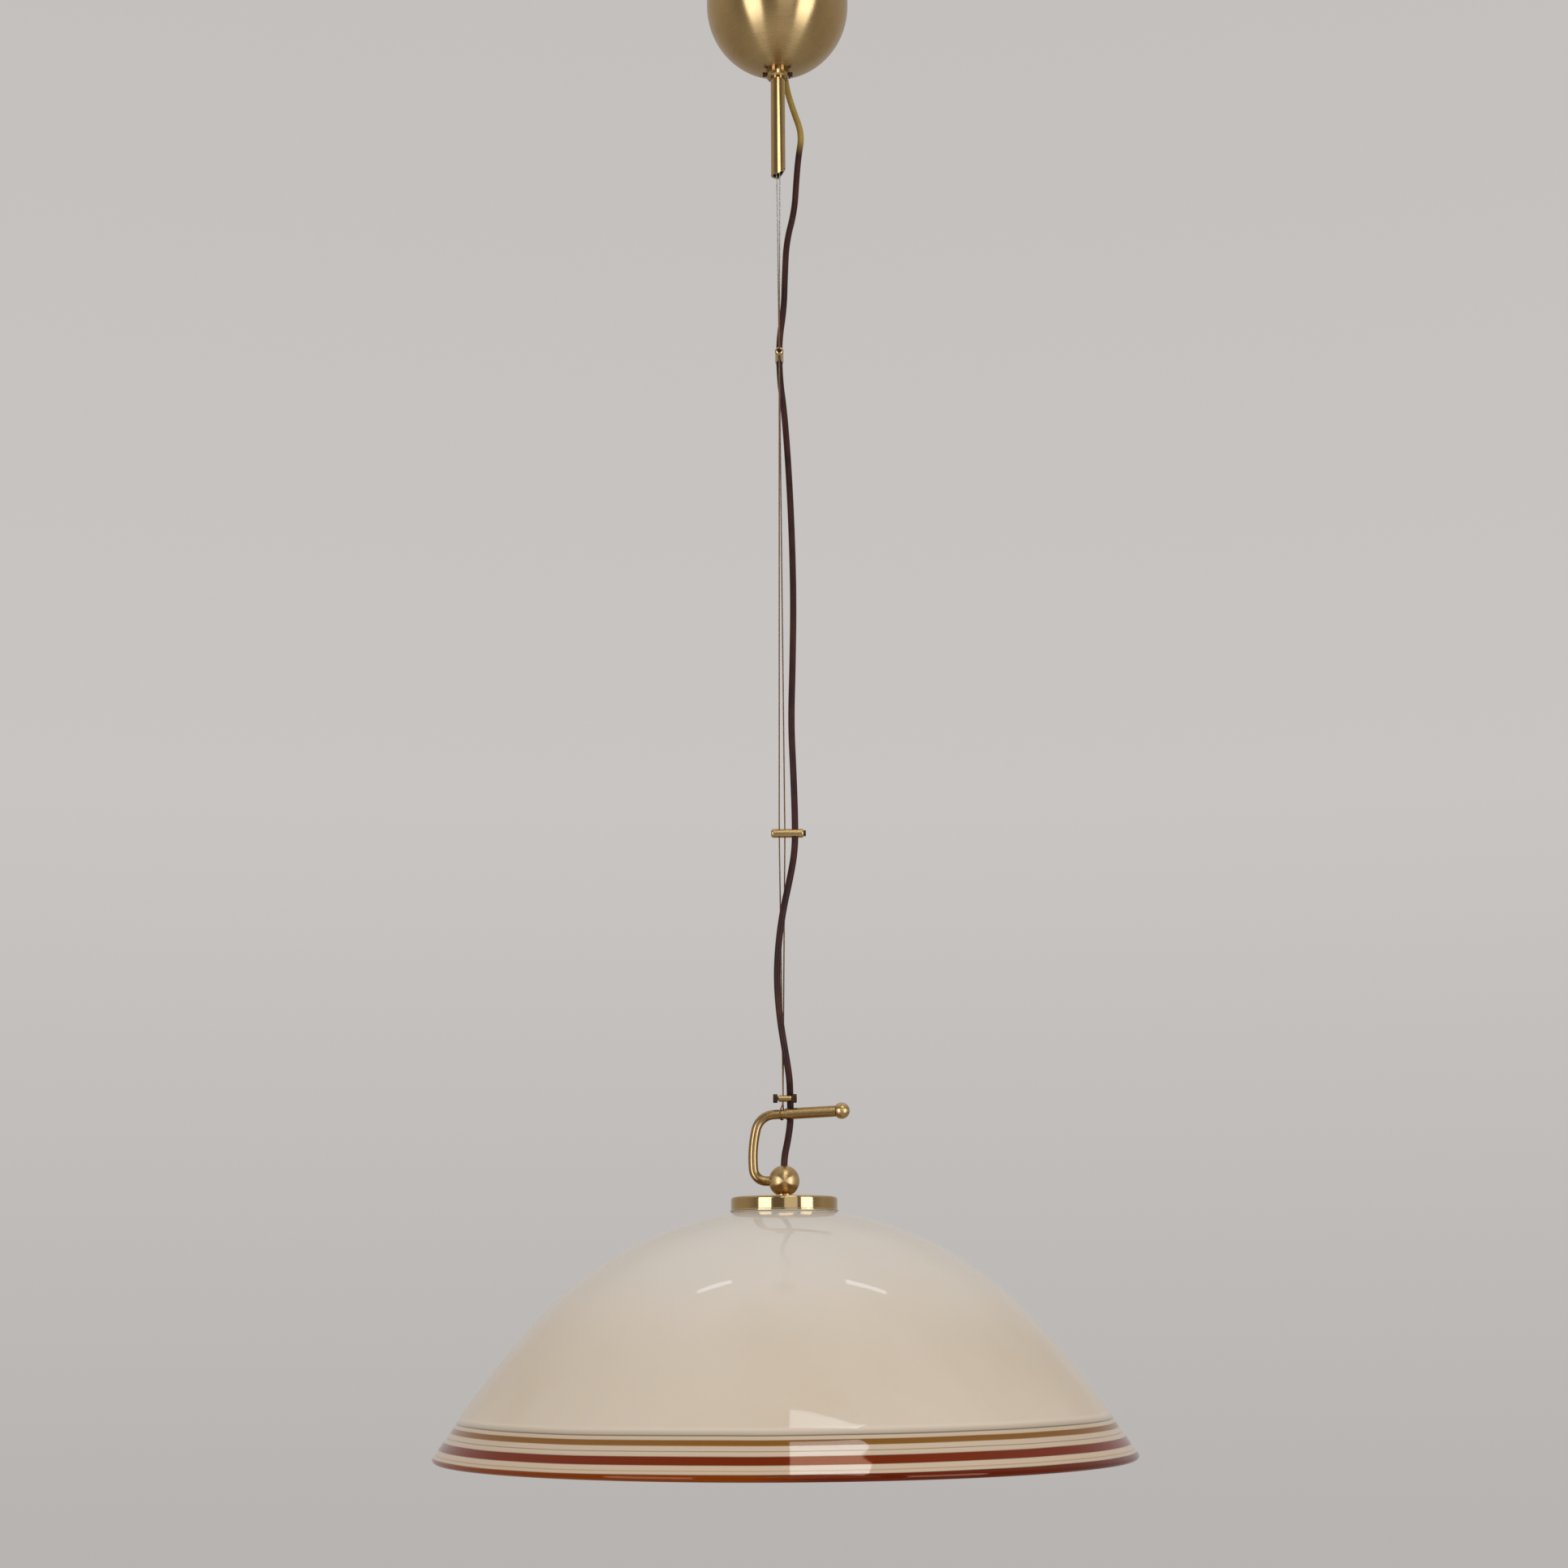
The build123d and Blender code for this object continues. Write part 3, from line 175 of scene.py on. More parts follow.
class Finish:
    """A material's node tree, filled step by step."""

    def __init__(self, name):
        self.material = bpy.data.materials.new(name)
        self.material.use_nodes = True
        self.tree = self.material.node_tree
        self.shader = self.tree.nodes["Principled BSDF"]
        self.place = self.node("ShaderNodeTexCoord").outputs["Object"]

    def node(self, kind, **settings):
        return add(self.tree, kind, **settings)

    def join(self, source, target):
        self.tree.links.new(source, target)

    def set(self, **sockets):
        """Plain values on the shader's own sockets, named with _ for a space."""
        for key, value in sockets.items():
            self.shader.inputs[key.replace("_", " ")].default_value = value

    def drive(self, socket, source):
        """Leads a texture to one of the shader's sockets."""
        self.join(source, self.shader.inputs[socket])

    def stretched(self, scale):
        """Object coordinates, stretched."""
        mapping = self.node("ShaderNodeMapping")
        mapping.inputs["Scale"].default_value = scale
        self.join(self.place, mapping.inputs["Vector"])
        return mapping.outputs["Vector"]

    def axes(self):
        split = self.node("ShaderNodeSeparateXYZ")
        self.join(self.place, split.inputs["Vector"])
        return split.outputs["X"], split.outputs["Y"], split.outputs["Z"]

    def rest_height(self):
        return self.node("ShaderNodeAttribute", attribute_name=REST_HEIGHT).outputs["Fac"]

    def noise(self, scale, detail=3.0, rough=0.5, place=None):
        made = self.node("ShaderNodeTexNoise")
        made.inputs["Scale"].default_value = scale
        made.inputs["Detail"].default_value = detail
        made.inputs["Roughness"].default_value = rough
        self.join(place or self.place, made.inputs["Vector"])
        return made.outputs["Fac"]

    def ramp(self, source, stops):
        return ramp_node(self.tree, source, stops)

    def span(self, source, low, high, to_low, to_high, soft=False):
        return range_node(self.tree, source, low, high, to_low, to_high, soft)

    def calc(self, operation, first, second):
        return math_node(self.tree, operation, first, second)

    def mixed(self, share, first, second):
        """Two colours mixed by a number or a socket."""
        made = self.node("ShaderNodeMix", data_type="RGBA")
        if isinstance(share, float):
            made.inputs["Factor"].default_value = share
        else:
            self.join(share, made.inputs["Factor"])
        for socket, value in ((made.inputs[MIX_FIRST], first), (made.inputs[MIX_SECOND], second)):
            if isinstance(value, tuple):
                socket.default_value = (*tone(value), 1.0)
            else:
                self.join(value, socket)
        return made.outputs[MIX_RESULT]

    def bump(self, height, strength, distance):
        made = self.node("ShaderNodeBump")
        made.inputs["Strength"].default_value = strength
        made.inputs["Distance"].default_value = distance
        self.join(height, made.inputs["Height"])
        self.drive("Normal", made.outputs["Normal"])

    def colour(self, source):
        self.drive("Base Color", source)

    def rough(self, source, low, high):
        self.drive("Roughness", self.span(source, 0.3, 0.7, low, high))


def brass(name, brushed, low, high, streak=0.0, axis="Z", aged=0.0):
    """Brass with tool marks, stretched as brushed says, and highlights that streak across an axis."""
    finish = Finish(name)
    marks = finish.noise(1.0, 4.0, 0.6, finish.stretched(brushed))
    cloud = finish.noise(42.0, 4.0, 0.55)
    patina = finish.ramp(cloud, [(0.28, (168, 137, 90)), (0.5, (178, 149, 102)), (0.72, (170, 140, 93))])
    drawn = finish.ramp(marks, [(0.3, (164, 134, 88)), (0.7, (190, 161, 112))])
    bright = finish.mixed(0.35, patina, drawn)
    darker_tone = (112, 82, 44)
    finish.colour(finish.mixed(aged, bright, darker_tone) if aged else bright)
    finish.set(Metallic=1.0, Anisotropic=streak, Anisotropic_Rotation=0.25)
    finish.rough(marks, low, high)
    around = finish.node("ShaderNodeTangent", direction_type="RADIAL", axis=axis)
    finish.drive("Tangent", around.outputs["Tangent"])
    finish.bump(marks, 0.1, 0.00003)
    return finish.material


def plain_metal(name, dark, pale, scale, metal, rough):
    """Plated or blackened metal with a cloudy tone."""
    finish = Finish(name)
    cloud = finish.noise(scale, 4.0, 0.6)
    finish.colour(finish.ramp(cloud, [(0.3, dark), (0.7, pale)]))
    finish.set(Metallic=metal)
    finish.rough(cloud, rough - 0.06, rough + 0.08)
    finish.bump(finish.noise(scale * 20.0, 2.0), 0.1, 0.00008)
    return finish.material


def moulded(name, dark, pale, scale, rough, coat=0.0):
    """Moulded plastic, rubber or ceramic with a fine grain."""
    finish = Finish(name)
    cloud = finish.noise(scale, 3.0, 0.5)
    finish.colour(finish.ramp(cloud, [(0.3, dark), (0.7, pale)]))
    finish.set(Coat_Weight=coat)
    finish.rough(cloud, rough - 0.05, rough + 0.07)
    finish.bump(finish.noise(scale * 30.0, 2.0), 0.12, 0.00006)
    return finish.material


def cable_sheath():
    """Dark brown cable sheath, golden where it comes out of the canopy."""
    finish = Finish("brown_cable_sheath")
    height = finish.rest_height()
    cloud = finish.noise(60.0, 3.0)
    brown = finish.ramp(cloud, [(0.3, (38, 17, 12)), (0.55, (50, 23, 15)), (0.75, (64, 32, 18))])
    golden = finish.ramp(cloud, [(0.3, (136, 108, 46)), (0.7, (158, 130, 62))])
    fade = finish.span(height, BROWN_TOP, GOLDEN_FOOT, 0.0, 1.0, soft=True)
    finish.colour(finish.mixed(fade, brown, golden))
    finish.set(Specular_IOR_Level=0.14)
    finish.rough(cloud, 0.34, 0.46)
    finish.bump(finish.noise(420.0, 2.0), 0.15, 0.0001)
    return finish.material


def steel_wire():
    """Stranded steel wire, bright at the top, darker and browner further down with painted shade."""
    finish = Finish("stranded_steel")
    height = finish.rest_height()
    cloud = finish.noise(900.0, 4.0, 0.6)
    bright = finish.ramp(cloud, [(0.3, (150, 142, 130)), (0.7, (196, 190, 180))])
    # Painted shade: the darker brown of the lower wire stands in for how the wire is lit
    darker_tone = finish.ramp(cloud, [(0.3, (92, 70, 46)), (0.7, (136, 108, 74))])
    fade = finish.span(height, WIRE_SHADE_TOP, BRIGHT_FOOT, 0.0, 1.0, soft=True)
    finish.colour(finish.mixed(fade, darker_tone, bright))
    finish.set(Metallic=1.0)
    finish.rough(cloud, 0.28, 0.42)
    return finish.material


def trail(edges, ground, dye):
    """Ramp stops of a thread that starts and ends in the ground colour."""
    return list(zip(edges, [ground] + [dye] * (len(edges) - 2) + [ground]))


def opal_glass():
    """Cream opal glass that ends in a clear band with trailed brown threads."""
    finish = Finish("opal_glass_with_trailed_band")
    side, _, height = finish.axes()
    drift = finish.noise(5.0, 2.0, 0.5, finish.stretched((1.0, 1.0, 0.4)))
    wander = finish.span(drift, 0.0, 1.0, -BAND_WANDER, BAND_WANDER)
    lean = finish.calc("MULTIPLY", side, BAND_LEAN)
    level = finish.calc("ADD", finish.calc("ADD", height, wander), lean)
    band = finish.span(level, RIM_Z, RIM_Z + BAND_HEIGHT, 0.0, 1.0)
    clear = (195, 171, 141)
    rust = (100, 27, 0)
    ochre = (117, 73, 14)
    grey = (126, 112, 92)
    tan = (170, 138, 98)
    olive = (98, 84, 58)
    shadow = (168, 151, 127)
    opal = (193, 175, 151)
    threads = finish.ramp(band, [
        *zip(FOOT_EDGES, (rust, clear)), *trail(TAN_EDGES, clear, tan), *trail(RUST_EDGES, clear, rust),
        *trail(GREY_EDGES, clear, grey), *trail(OCHRE_EDGES, clear, ochre),
        *zip(OLIVE_EDGES, (clear, olive, shadow)), (CLEAR_TOP, opal),
    ])
    # The lowest thread changes from orange on the left to dark red on the right
    orange, dark_red = (112, 46, 0), (84, 20, 0)
    foot = finish.mixed(finish.span(side, *FOOT_CHANGE, 0.0, 1.0, soft=True), orange, dark_red)
    in_foot = finish.span(band, *FOOT_EDGES, 1.0, 0.0, soft=True)
    banded = finish.mixed(in_foot, threads, foot)
    cloud = finish.noise(7.0, 3.0)
    flank = finish.ramp(cloud, [(0.3, (180, 162, 137)), (0.55, (185, 168, 145)), (0.75, (182, 166, 144))])
    crown = finish.ramp(cloud, [(0.3, (192, 181, 165)), (0.7, (195, 185, 170))])
    cream = finish.mixed(finish.span(height, FLANK_TOP, CROWN_FOOT, 0.0, 1.0, soft=True), flank, crown)
    opal_foot = RIM_Z + OPAL_START * BAND_HEIGHT
    body = finish.span(level, opal_foot, opal_foot + OPAL_FADE, 0.0, 1.0, soft=True)
    finish.colour(finish.mixed(body, banded, cream))
    # How clear the glass is, thread by thread
    see, dim, thick = (136, 136, 136), (84, 84, 84), (0, 0, 0)
    finish.drive("Transmission Weight", finish.ramp(band, [
        *zip(FOOT_EDGES, (dim, see)), *trail(RUST_EDGES, see, dim), *trail(OCHRE_EDGES, see, dim),
        (OLIVE_EDGES[1], see), (CLEAR_TOP, thick),
    ]))
    # The rust threads tint what they mirror
    white, warm = (255, 255, 255), (255, 176, 96)
    finish.drive("Specular Tint", finish.ramp(band, [
        *zip(FOOT_EDGES, (warm, white)), *trail(RUST_EDGES, white, warm),
    ]))
    finish.drive("Coat Weight", finish.span(body, 0.0, 1.0, 0.15, 0.0))
    finish.set(Coat_Roughness=0.03, Specular_IOR_Level=0.2)
    finish.set(Roughness=0.035, IOR=1.5, Subsurface_Weight=0.12, Subsurface_Scale=0.006)
    finish.bump(finish.noise(16.0, 2.0), 0.05, 0.002)
    return finish.material


def bulb_glass():
    """White opal bulb with a faint warm cloud."""
    finish = Finish("white_bulb_glass")
    cloud = finish.noise(40.0, 2.0)
    finish.colour(finish.ramp(cloud, [(0.3, (236, 234, 228)), (0.7, (244, 243, 240))]))
    finish.rough(cloud, 0.16, 0.24)
    finish.set(Subsurface_Weight=0.2, Subsurface_Scale=0.004)
    finish.bump(finish.noise(900.0, 2.0), 0.05, 0.00003)
    return finish.material


finishes = {
    "spun_brass": brass("spun_satin_brass", (50.0, 50.0, 4200.0), 0.25, 0.31, 0.92),
    "turned_brass": brass("turned_bright_brass", (60.0, 60.0, 5200.0), 0.07, 0.12),
    "ball_brass": brass("turned_ball_brass", (60.0, 2600.0, 60.0), 0.24, 0.30, 0.9, "Y"),
    "knob_brass": brass("turned_knob_brass", (2600.0, 60.0, 60.0), 0.22, 0.28, 0.85, "X"),
    "bar_brass": brass("bar_brass", (5200.0, 60.0, 60.0), 0.15, 0.22),
    "rod_brass": brass("drawn_satin_brass", (110.0, 110.0, 110.0), 0.2, 0.27, aged=0.5),
    "dark_screw": plain_metal("blackened_screw_steel", (40, 26, 18), (84, 58, 40), 700.0, 0.85, 0.36),
    "steel_wire": steel_wire(),
    "zinc_steel": plain_metal("zinc_plated_steel", (150, 150, 152), (192, 194, 198), 160.0, 1.0, 0.36),
    "bulb_metal": plain_metal("nickel_bulb_cap", (176, 174, 170), (212, 210, 206), 220.0, 1.0, 0.28),
    "cable": cable_sheath(),
    "core": moulded("pale_core_sleeves", (176, 186, 190), (206, 212, 214), 300.0, 0.4),
    "terminal": moulded("terminal_plastic", (214, 210, 198), (230, 227, 218), 140.0, 0.45),
    "resin": moulded("black_holder_resin", (26, 25, 25), (44, 42, 41), 120.0, 0.36, 0.2),
    "insulator": moulded("pale_holder_ceramic", (222, 216, 202), (238, 234, 224), 120.0, 0.3, 0.3),
    "rubber": moulded("black_rubber", (24, 23, 23), (42, 41, 40), 260.0, 0.6),
    "silicone": moulded("pale_silicone", (176, 166, 150), (194, 185, 170), 260.0, 0.5),
    "glass": opal_glass(),
    "bulb": bulb_glass(),
}


# Geometry node trees

SOFT_EDGE = math.radians(40)
MERGE_DISTANCE = 0.0000005
SHEATH_SIDES = 24
STRAND_SIDES = 6
OUTER_STRANDS = 6
STRAND_RADIUS = WIRE_DIA / 6
LAY_LENGTH = 0.0075
STRAND_STEP = 0.0008


def new_tree(name, inputs):
    """A geometry node tree with these named inputs, as (name, socket kind, value)."""
    tree = bpy.data.node_groups.new(name, "GeometryNodeTree")
    face = tree.interface
    face.new_socket("Geometry", in_out="INPUT", socket_type="NodeSocketGeometry")
    for label, kind, value in inputs:
        socket = face.new_socket(label, in_out="INPUT", socket_type=kind)
        if value is not None:
            socket.default_value = value
    face.new_socket("Geometry", in_out="OUTPUT", socket_type="NodeSocketGeometry")
    return tree, tree.nodes.new("NodeGroupInput"), tree.nodes.new("NodeGroupOutput")


def finish_tree(tree, entry, leave, geometry):
    """Ends a tree in Realize Instances and Set Material."""
    whole = add(tree, "GeometryNodeRealizeInstances")
    coat = add(tree, "GeometryNodeSetMaterial")
    tree.links.new(geometry, whole.inputs["Geometry"])
    tree.links.new(whole.outputs["Geometry"], coat.inputs["Geometry"])
    tree.links.new(entry.outputs["Finish"], coat.inputs["Material"])
    tree.links.new(coat.outputs["Geometry"], leave.inputs["Geometry"])


def grown(name, seed, tree, values):
    """The plain mesh that a tree makes from a seed mesh."""
    carrier = put(name + "_seed", seed)
    modifier = carrier.modifiers.new("grow", "NODES")
    modifier.node_group = tree
    for item in tree.interface.items_tree:
        if item.item_type == "SOCKET" and item.in_out == "INPUT" and item.name in values:
            modifier[item.identifier] = values[item.name]
    bpy.context.view_layer.update()
    ready = carrier.evaluated_get(bpy.context.evaluated_depsgraph_get())
    mesh = bpy.data.meshes.new_from_object(ready)
    mesh.name = name
    bpy.data.objects.remove(carrier)
    return mesh


def line_mesh(name, points):
    """Points joined in a row by edges."""
    mesh = bpy.data.meshes.new(name)
    mesh.from_pydata([Vector(p) for p in points], [(i, i + 1) for i in range(len(points) - 1)], [])
    return mesh


def turning_tree():
    """Turns a closed profile about the Z axis, cuts a thread or ridges into it and puts it in place."""
    tree, entry, leave = new_tree("turned_piece", [
        ("Steps around", "NodeSocketInt", 96),
        ("Profile points", "NodeSocketInt", 32),
        ("Cut from radius", "NodeSocketFloat", 0.0),
        ("Cut from height", "NodeSocketFloat", 0.0),
        ("Cut to height", "NodeSocketFloat", 0.0),
        ("Ridges", "NodeSocketInt", 0),
        ("Ridge depth", "NodeSocketFloat", 0.0),
        ("Thread pitch", "NodeSocketFloat", 0.001),
        ("Thread depth", "NodeSocketFloat", 0.0),
        ("Tilt", "NodeSocketVector", (0.0, 0.0, 0.0)),
        ("Place", "NodeSocketVector", (0.0, 0.0, 0.0)),
        ("Finish", "NodeSocketMaterial", None),
    ])
    link = tree.links.new
    value = entry.outputs

    def calc(operation, first, second=0.0):
        return math_node(tree, operation, first, second)

    grid = add(tree, "GeometryNodeMeshGrid")
    link(calc("ADD", value["Steps around"], 1.0), grid.inputs["Vertices X"])
    link(calc("ADD", value["Profile points"], 1.0), grid.inputs["Vertices Y"])
    spot = add(tree, "GeometryNodeInputPosition")
    parts = add(tree, "ShaderNodeSeparateXYZ")
    link(spot.outputs["Position"], parts.inputs["Vector"])
    share = calc("ADD", parts.outputs["X"], 0.5)
    turn = calc("MULTIPLY", share, math.tau)
    row = calc("MULTIPLY", calc("ADD", parts.outputs["Y"], 0.5), value["Profile points"])
    row = calc("MODULO", calc("ROUND", row), value["Profile points"])
    sample = add(tree, "GeometryNodeSampleIndex", data_type="FLOAT_VECTOR", domain="POINT")
    link(value["Geometry"], sample.inputs["Geometry"])
    seat = add(tree, "GeometryNodeInputPosition")
    link(seat.outputs["Position"], sample.inputs["Value"])
    link(row, sample.inputs["Index"])
    profile = add(tree, "ShaderNodeSeparateXYZ")
    link(sample.outputs["Value"], profile.inputs["Vector"])
    reach, height = profile.outputs["X"], profile.outputs["Z"]
    cut = calc("GREATER_THAN", reach, value["Cut from radius"])
    cut = calc("MULTIPLY", cut, calc("GREATER_THAN", height, value["Cut from height"]))
    cut = calc("MULTIPLY", cut, calc("LESS_THAN", height, value["Cut to height"]))
    ridge = calc("COSINE", calc("MULTIPLY", turn, value["Ridges"]))
    ridge = calc("MULTIPLY", calc("MULTIPLY", calc("SUBTRACT", 1.0, ridge), 0.5), value["Ridge depth"])
    helix = calc("FRACT", calc("SUBTRACT", calc("DIVIDE", height, value["Thread pitch"]), share))
    helix = calc("ABSOLUTE", calc("SUBTRACT", calc("MULTIPLY", helix, 2.0), 1.0))
    helix = calc("MULTIPLY", helix, value["Thread depth"])
    reach = calc("SUBTRACT", reach, calc("MULTIPLY", cut, calc("ADD", ridge, helix)))
    place = add(tree, "ShaderNodeCombineXYZ")
    link(calc("MULTIPLY", reach, calc("SINE", turn)), place.inputs["X"])
    link(calc("MULTIPLY", reach, calc("COSINE", turn)), place.inputs["Y"])
    link(height, place.inputs["Z"])
    moved = add(tree, "GeometryNodeSetPosition")
    link(grid.outputs["Mesh"], moved.inputs["Geometry"])
    link(place.outputs["Vector"], moved.inputs["Position"])
    closed = add(tree, "GeometryNodeMergeByDistance")
    closed.inputs["Distance"].default_value = MERGE_DISTANCE
    link(moved.outputs["Geometry"], closed.inputs["Geometry"])
    set_down = add(tree, "GeometryNodeTransform")
    link(closed.outputs["Geometry"], set_down.inputs["Geometry"])
    link(value["Tilt"], set_down.inputs["Rotation"])
    link(value["Place"], set_down.inputs["Translation"])
    angle = add(tree, "GeometryNodeInputMeshEdgeAngle")
    soft = calc("LESS_THAN", angle.outputs["Unsigned Angle"], SOFT_EDGE)
    faces = add(tree, "GeometryNodeSetShadeSmooth")
    link(set_down.outputs["Geometry"], faces.inputs["Geometry"])
    edges = add(tree, "GeometryNodeSetShadeSmooth", domain="EDGE")
    link(faces.outputs["Geometry"], edges.inputs["Geometry"])
    link(soft, edges.inputs["Shade Smooth"])
    finish_tree(tree, entry, leave, edges.outputs["Geometry"])
    return tree


def tube_on(tree, curve, radius, sides):
    """A smooth capped tube along a curve, which keeps its height at rest as an attribute."""
    link = tree.links.new
    ring = add(tree, "GeometryNodeCurvePrimitiveCircle")
    ring.inputs["Resolution"].default_value = sides
    link(radius, ring.inputs["Radius"])
    tube = add(tree, "GeometryNodeCurveToMesh")
    tube.inputs["Fill Caps"].default_value = True
    link(curve, tube.inputs["Curve"])
    link(ring.outputs["Curve"], tube.inputs["Profile Curve"])
    smooth = add(tree, "GeometryNodeSetShadeSmooth")
    link(tube.outputs["Mesh"], smooth.inputs["Geometry"])
    parts = add(tree, "ShaderNodeSeparateXYZ")
    link(add(tree, "GeometryNodeInputPosition").outputs["Position"], parts.inputs["Vector"])
    kept = add(tree, "GeometryNodeStoreNamedAttribute", data_type="FLOAT", domain="POINT")
    kept.inputs["Name"].default_value = REST_HEIGHT
    link(smooth.outputs["Geometry"], kept.inputs["Geometry"])
    link(parts.outputs["Z"], kept.inputs["Value"])
    return kept.outputs["Geometry"]


def strand_tree():
    """Lays outer strands round a straight one along a path."""
    tree, entry, leave = new_tree("laid_strands", [
        ("Strand radius", "NodeSocketFloat", STRAND_RADIUS),
        ("Lay length", "NodeSocketFloat", LAY_LENGTH),
        ("Step", "NodeSocketFloat", STRAND_STEP),
        ("Finish", "NodeSocketMaterial", None),
    ])
    link = tree.links.new
    radius = entry.outputs["Strand radius"]
    path = add(tree, "GeometryNodeMeshToCurve")
    link(entry.outputs["Geometry"], path.inputs["Mesh"])
    even = add(tree, "GeometryNodeResampleCurve", mode="LENGTH")
    link(path.outputs["Curve"], even.inputs["Curve"])
    link(entry.outputs["Step"], even.inputs["Length"])
    copies = add(tree, "GeometryNodeDuplicateElements", domain="SPLINE")
    copies.inputs["Amount"].default_value = OUTER_STRANDS
    link(even.outputs["Curve"], copies.inputs["Geometry"])
    run = add(tree, "GeometryNodeSplineParameter")
    turns = math_node(tree, "DIVIDE", run.outputs["Length"], entry.outputs["Lay length"])
    share = math_node(tree, "DIVIDE", copies.outputs["Duplicate Index"], OUTER_STRANDS)
    turn = math_node(tree, "MULTIPLY", math_node(tree, "ADD", turns, share), math.tau)
    tangent = add(tree, "GeometryNodeInputTangent")
    normal = add(tree, "GeometryNodeInputNormal")
    swing = add(tree, "ShaderNodeVectorRotate", rotation_type="AXIS_ANGLE")
    link(normal.outputs["Normal"], swing.inputs["Vector"])
    link(tangent.outputs["Tangent"], swing.inputs["Axis"])
    link(turn, swing.inputs["Angle"])
    push = add(tree, "ShaderNodeVectorMath", operation="SCALE")
    link(swing.outputs["Vector"], push.inputs["Vector"])
    link(math_node(tree, "MULTIPLY", radius, 2.0), push.inputs["Scale"])
    laid = add(tree, "GeometryNodeSetPosition")
    link(copies.outputs["Geometry"], laid.inputs["Geometry"])
    link(push.outputs["Vector"], laid.inputs["Offset"])
    both = add(tree, "GeometryNodeJoinGeometry")
    link(laid.outputs["Geometry"], both.inputs["Geometry"])
    link(even.outputs["Curve"], both.inputs["Geometry"])
    finish_tree(tree, entry, leave, tube_on(tree, both.outputs["Geometry"], radius, STRAND_SIDES))
    return tree


def tube_tree():
    """A round tube along a path."""
    tree, entry, leave = new_tree("round_tube", [
        ("Tube radius", "NodeSocketFloat", CABLE_DIA / 2),
        ("Finish", "NodeSocketMaterial", None),
    ])
    path = add(tree, "GeometryNodeMeshToCurve")
    tree.links.new(entry.outputs["Geometry"], path.inputs["Mesh"])
    tube = tube_on(tree, path.outputs["Curve"], entry.outputs["Tube radius"], SHEATH_SIDES)
    finish_tree(tree, entry, leave, tube)
    return tree


turned_piece = turning_tree()
laid_strands = strand_tree()
round_tube = tube_tree()


# Cords: routes as in the solids, in millimetres, that meet at the faces of the grommet and of the upper bar

SPLINE_ORDER = 3
SPLINE_STEPS = 24


def metres(point):
    """A route's point in metres."""
    return Vector(point) * 0.001


def smooth_line(points):
    """Points, in metres, read from the NURBS spline with these control points."""
    curve = bpy.data.curves.new("route", "CURVE")
    curve.dimensions = "3D"
    spline = curve.splines.new("NURBS")
    spline.points.add(len(points) - 1)
    for spot, point in zip(spline.points, points):
        spot.co = (*metres(point), 1.0)
    spline.order_u = SPLINE_ORDER
    spline.use_endpoint_u = True
    spline.resolution_u = SPLINE_STEPS
    carrier = put("route", curve)
    bpy.context.view_layer.update()
    mesh = bpy.data.meshes.new_from_object(carrier.evaluated_get(bpy.context.evaluated_depsgraph_get()))
    line = [v.co.copy() for v in mesh.vertices]
    bpy.data.objects.remove(carrier)
    bpy.data.meshes.remove(mesh)
    return line


def cord_piece(name, node, line, tree, values):
    """What a tree makes along a line, in place of a cord's solid."""
    piece = put(name, grown(name, line_mesh(name, line), tree, values))
    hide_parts(node)
    return piece


def sheath_piece(node, line, diameter, finish):
    """A round sheath along a line."""
    values = {"Tube radius": diameter / 2, "Finish": finishes[finish]}
    name = node + ("_sleeve" if finish == "core" else "_sheath")
    return cord_piece(name, node, line, round_tube, values)


def wire_piece(node, line):
    """A stranded wire along a line."""
    values = {
        "Strand radius": STRAND_RADIUS, "Lay length": LAY_LENGTH, "Step": STRAND_STEP,
        "Finish": finishes["steel_wire"],
    }
    return cord_piece(node + "_strands", node, line, laid_strands, values)


def draw_in(piece):
    """Puts on the ceiling mount, with a mesh of its own, a cord one end of which comes nearer to the other
    as a joint slides.
    """
    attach(piece, "ceiling_mount")
    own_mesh(piece)


GROMMET_FACE = (6.2, 13.433, -91.01)
GROMMET_INSIDE = (4.947, 10.719, -79.50)
STEM_SIDE = (13.6, 12.65, -194.5)
BAR_FACE = (0, 9.8, -330)
CABLE_END_X = -16.5
CABLE_END_Z = -44
CABLE_ROUTES = {
    "cable_inner": [
        GROMMET_FACE, GROMMET_INSIDE, (0.2, 12.2, -71.5), (-6.8, 10, -65.2), (-12.6, 6.2, -60.2),
        (-16, 1.2, -52.6), (CABLE_END_X, 0, CABLE_END_Z),
    ],
    "cable_upper": [
        GROMMET_FACE, (7.053, 15.281, -98.86), (12.6, 15.6, -118), (19.4, 14.6, -139),
        (16.2, 13.6, -160), (14.4, 13, -182), STEM_SIDE,
    ],
    "cable_middle": [
        STEM_SIDE, (12.8, 12.3, -207), (6.2, 11.4, -234), (4.8, 10.6, -263),
        (3.9, 10.1, -291), (0, 9.8, -318), BAR_FACE,
    ],
    "cable_lower": [
        BAR_FACE, (0, 9.8, -348), (3.7, 9.2, -379), (6, 8.2, -413), (7.8, 7, -449), (9.2, 5.6, -491),
        (9.8, 4.2, -536), (8.8, 2.8, -586), (7.3, 1.5, -631), (8.8, 0.5, -669), (9.8, 0, -703),
        (9.8, 0, -729), (5.8, -2.8, -752), (0.4, -5.2, -776), (-3.4, -6.2, -803), (-4.6, -6.2, -830),
        (-2.4, -5.2, -858), (2, -3.7, -885), (4.4, 0.6, -900), (4.8, 5.6, -911), (5, 8, -922),
        (4.8, 7.8, -934), (2.7, 4.6, -947), (0.6, 1, -956.5), (0, 0, -965), (0.05, 0, -978), (0, 0, -992),
    ],
}
CORE_OFF = 1.25
TERMINAL_OFF = 5.5
